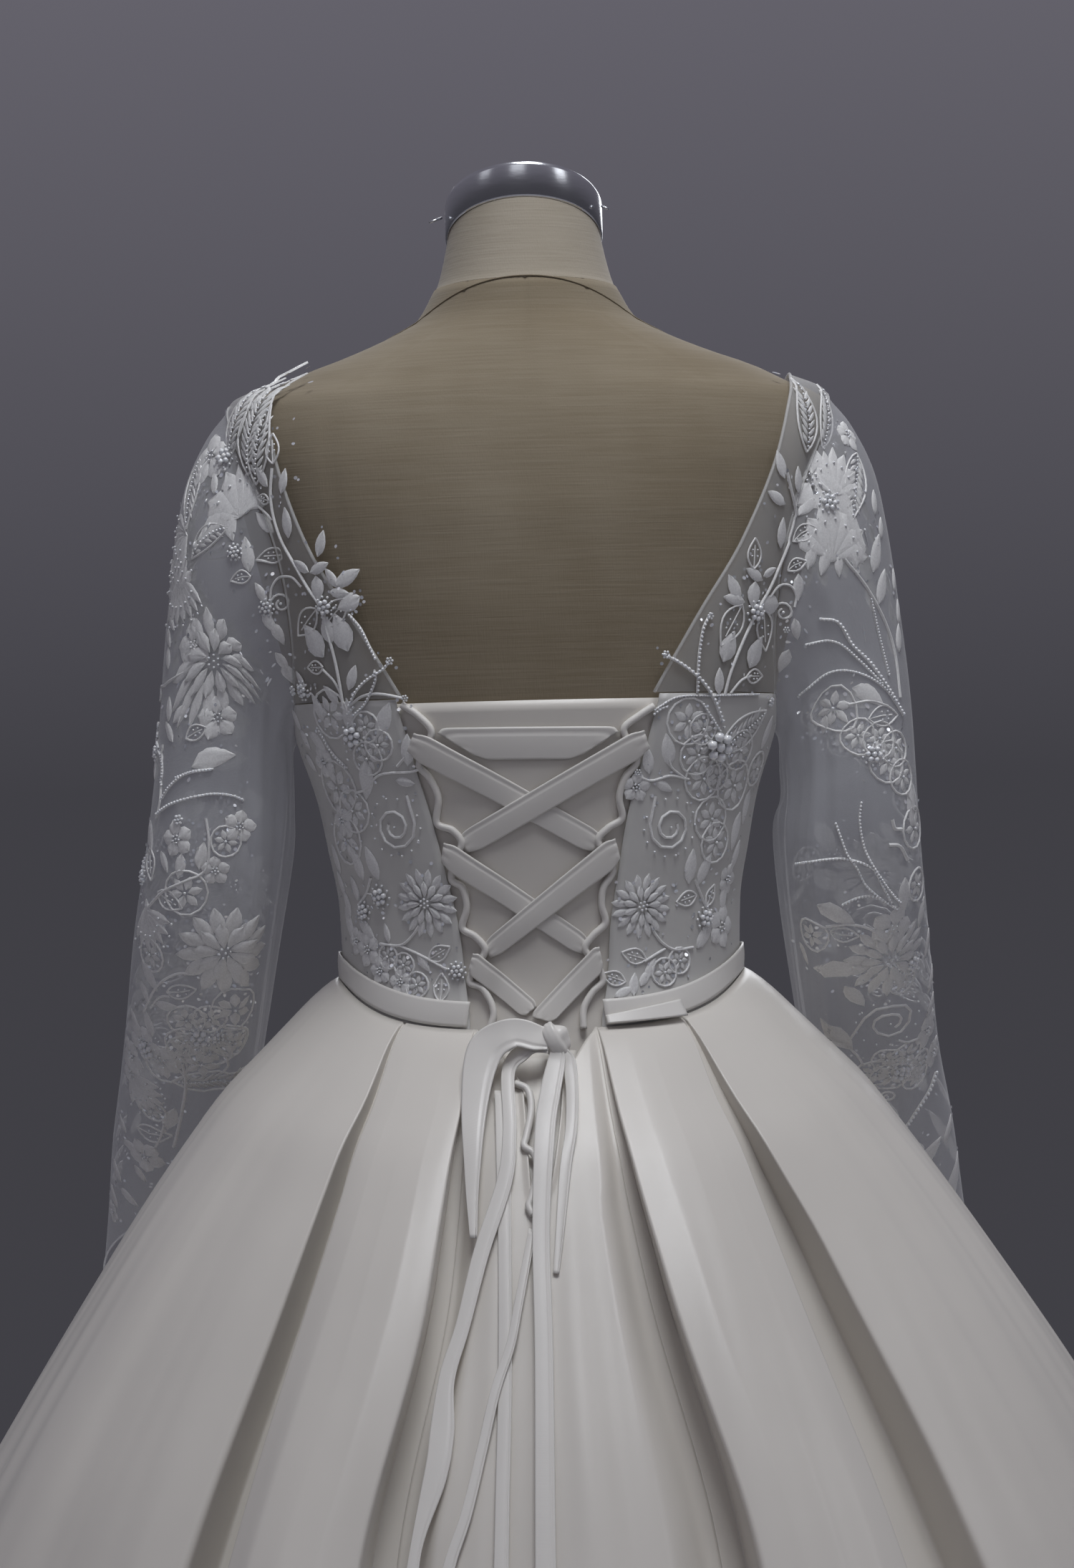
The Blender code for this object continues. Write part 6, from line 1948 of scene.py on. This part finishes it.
SIDES = ((-1, "left", LEFT_MOTIFS, LEFT_ROUTES), (1, "right", RIGHT_MOTIFS, RIGHT_ROUTES))
for side, word, motifs, routes in SIDES:
    work = Work()
    sprinkle = random.Random(40 + side)
    seats = seats_at(side, [(motif.px, motif.py) for motif in motifs])
    for motif, seat in zip(motifs, seats):
        sketch = DRAWINGS[motif.kind](motif.size)
        for _ in range(3):
            turn = sprinkle.uniform(0, 2 * math.pi)
            reach = motif.size * 0.5 + sprinkle.uniform(1.5, 5.0)
            sketch.sequins([(reach * math.cos(turn), reach * math.sin(turn))], sprinkle.uniform(0.7, 1.15))
        work.lay(sketch, seat, motif.turn)
        mirror = Seat(seat.ground, seat.ground.turned(seat.u), seat.v)
        if on_cloth_in_front(mirror):
            work.lay(sketch, mirror, motif.turn, True)
    for route in routes:
        work_route(work, side, route)
    work.make(word)


# %% [markdown]
# ## Floor, backdrop and light
# The studio has a pale floor, a grey surround that is a little lighter towards the top, and one soft,
# cool key light overhead, which shades the folds from above. Weak lamps at the sides, in front and
# behind only fill the shadows. Many lamps would flatten the satin, so the overhead one does the work.

# %% Floor and surround
floor_mesh = bmesh.new()
bmesh.ops.create_circle(floor_mesh, cap_ends=True, segments=128, radius=3.0)
floor_data = bpy.data.meshes.new("floor")
floor_mesh.to_mesh(floor_data)
floor_mesh.free()
floor_paint = new_material("floor_paint", (0.55, 0.55, 0.56), 0.7)
bump_from(floor_paint, [noise_at(floor_paint, (60, 60, 60), 3.0)], 0.05, 0.001)
floor_data.materials.append(floor_paint)
floor = bpy.data.objects.new("floor", floor_data)
bpy.context.scene.collection.objects.link(floor)
floor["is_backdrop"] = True

world = bpy.data.worlds.new("studio")
bpy.context.scene.world = world
world.use_nodes = True
tree = world.node_tree
sky = tree.nodes["Background"]
where = tree.nodes.new("ShaderNodeTexCoord")
parts = tree.nodes.new("ShaderNodeSeparateXYZ")
ramp = tree.nodes.new("ShaderNodeValToRGB")
ramp.color_ramp.elements[0].position = 0.0
ramp.color_ramp.elements[0].color = (0.052, 0.051, 0.060, 1.0)
ramp.color_ramp.elements[1].position = 0.30
ramp.color_ramp.elements[1].color = (0.155, 0.148, 0.178, 1.0)
tree.links.new(where.outputs["Generated"], parts.inputs[0])
tree.links.new(parts.outputs["Z"], ramp.inputs["Fac"])
tree.links.new(ramp.outputs["Color"], sky.inputs["Color"])
sky.inputs["Strength"].default_value = 1.0
bpy.context.scene.view_settings.view_transform = "Standard"

# %% Lights
Lamp = namedtuple("Lamp", "name place aim size power")
LAMPS = [
    Lamp("top", (0.20, -0.72, 2.9), (0.0, -0.1, 1.0), 0.8, 23),
    Lamp("left", (-2.4, -1.5, 2.5), (0.0, 0.0, 0.9), 0.8, 1),
    Lamp("right", (2.4, -1.5, 2.4), (0.0, 0.0, 0.9), 0.8, 3),
    Lamp("front", (-0.4, -3.2, 2.8), (0.0, 0.0, 1.6), 1.2, 3),
    Lamp("back", (0.6, 3.0, 2.6), (0.0, 0.0, 1.0), 2.0, 32),
]
for lamp in LAMPS:
    light = bpy.data.lights.new(lamp.name, "AREA")
    light.shape = "SQUARE"
    light.size = lamp.size
    light.energy = lamp.power
    light.color = (0.94, 0.965, 1.0)
    holder = bpy.data.objects.new(lamp.name, light)
    bpy.context.scene.collection.objects.link(holder)
    holder.location = lamp.place
    holder.rotation_euler = (Vector(lamp.aim) - Vector(lamp.place)).to_track_quat("-Z", "Y").to_euler()

# %% Sizes and finish
triangles = 0
depsgraph = bpy.context.evaluated_depsgraph_get()
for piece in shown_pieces():
    shown = piece.evaluated_get(depsgraph).to_mesh()
    shown.calc_loop_triangles()
    triangles += len(shown.loop_triangles)
    piece.evaluated_get(depsgraph).to_mesh_clear()
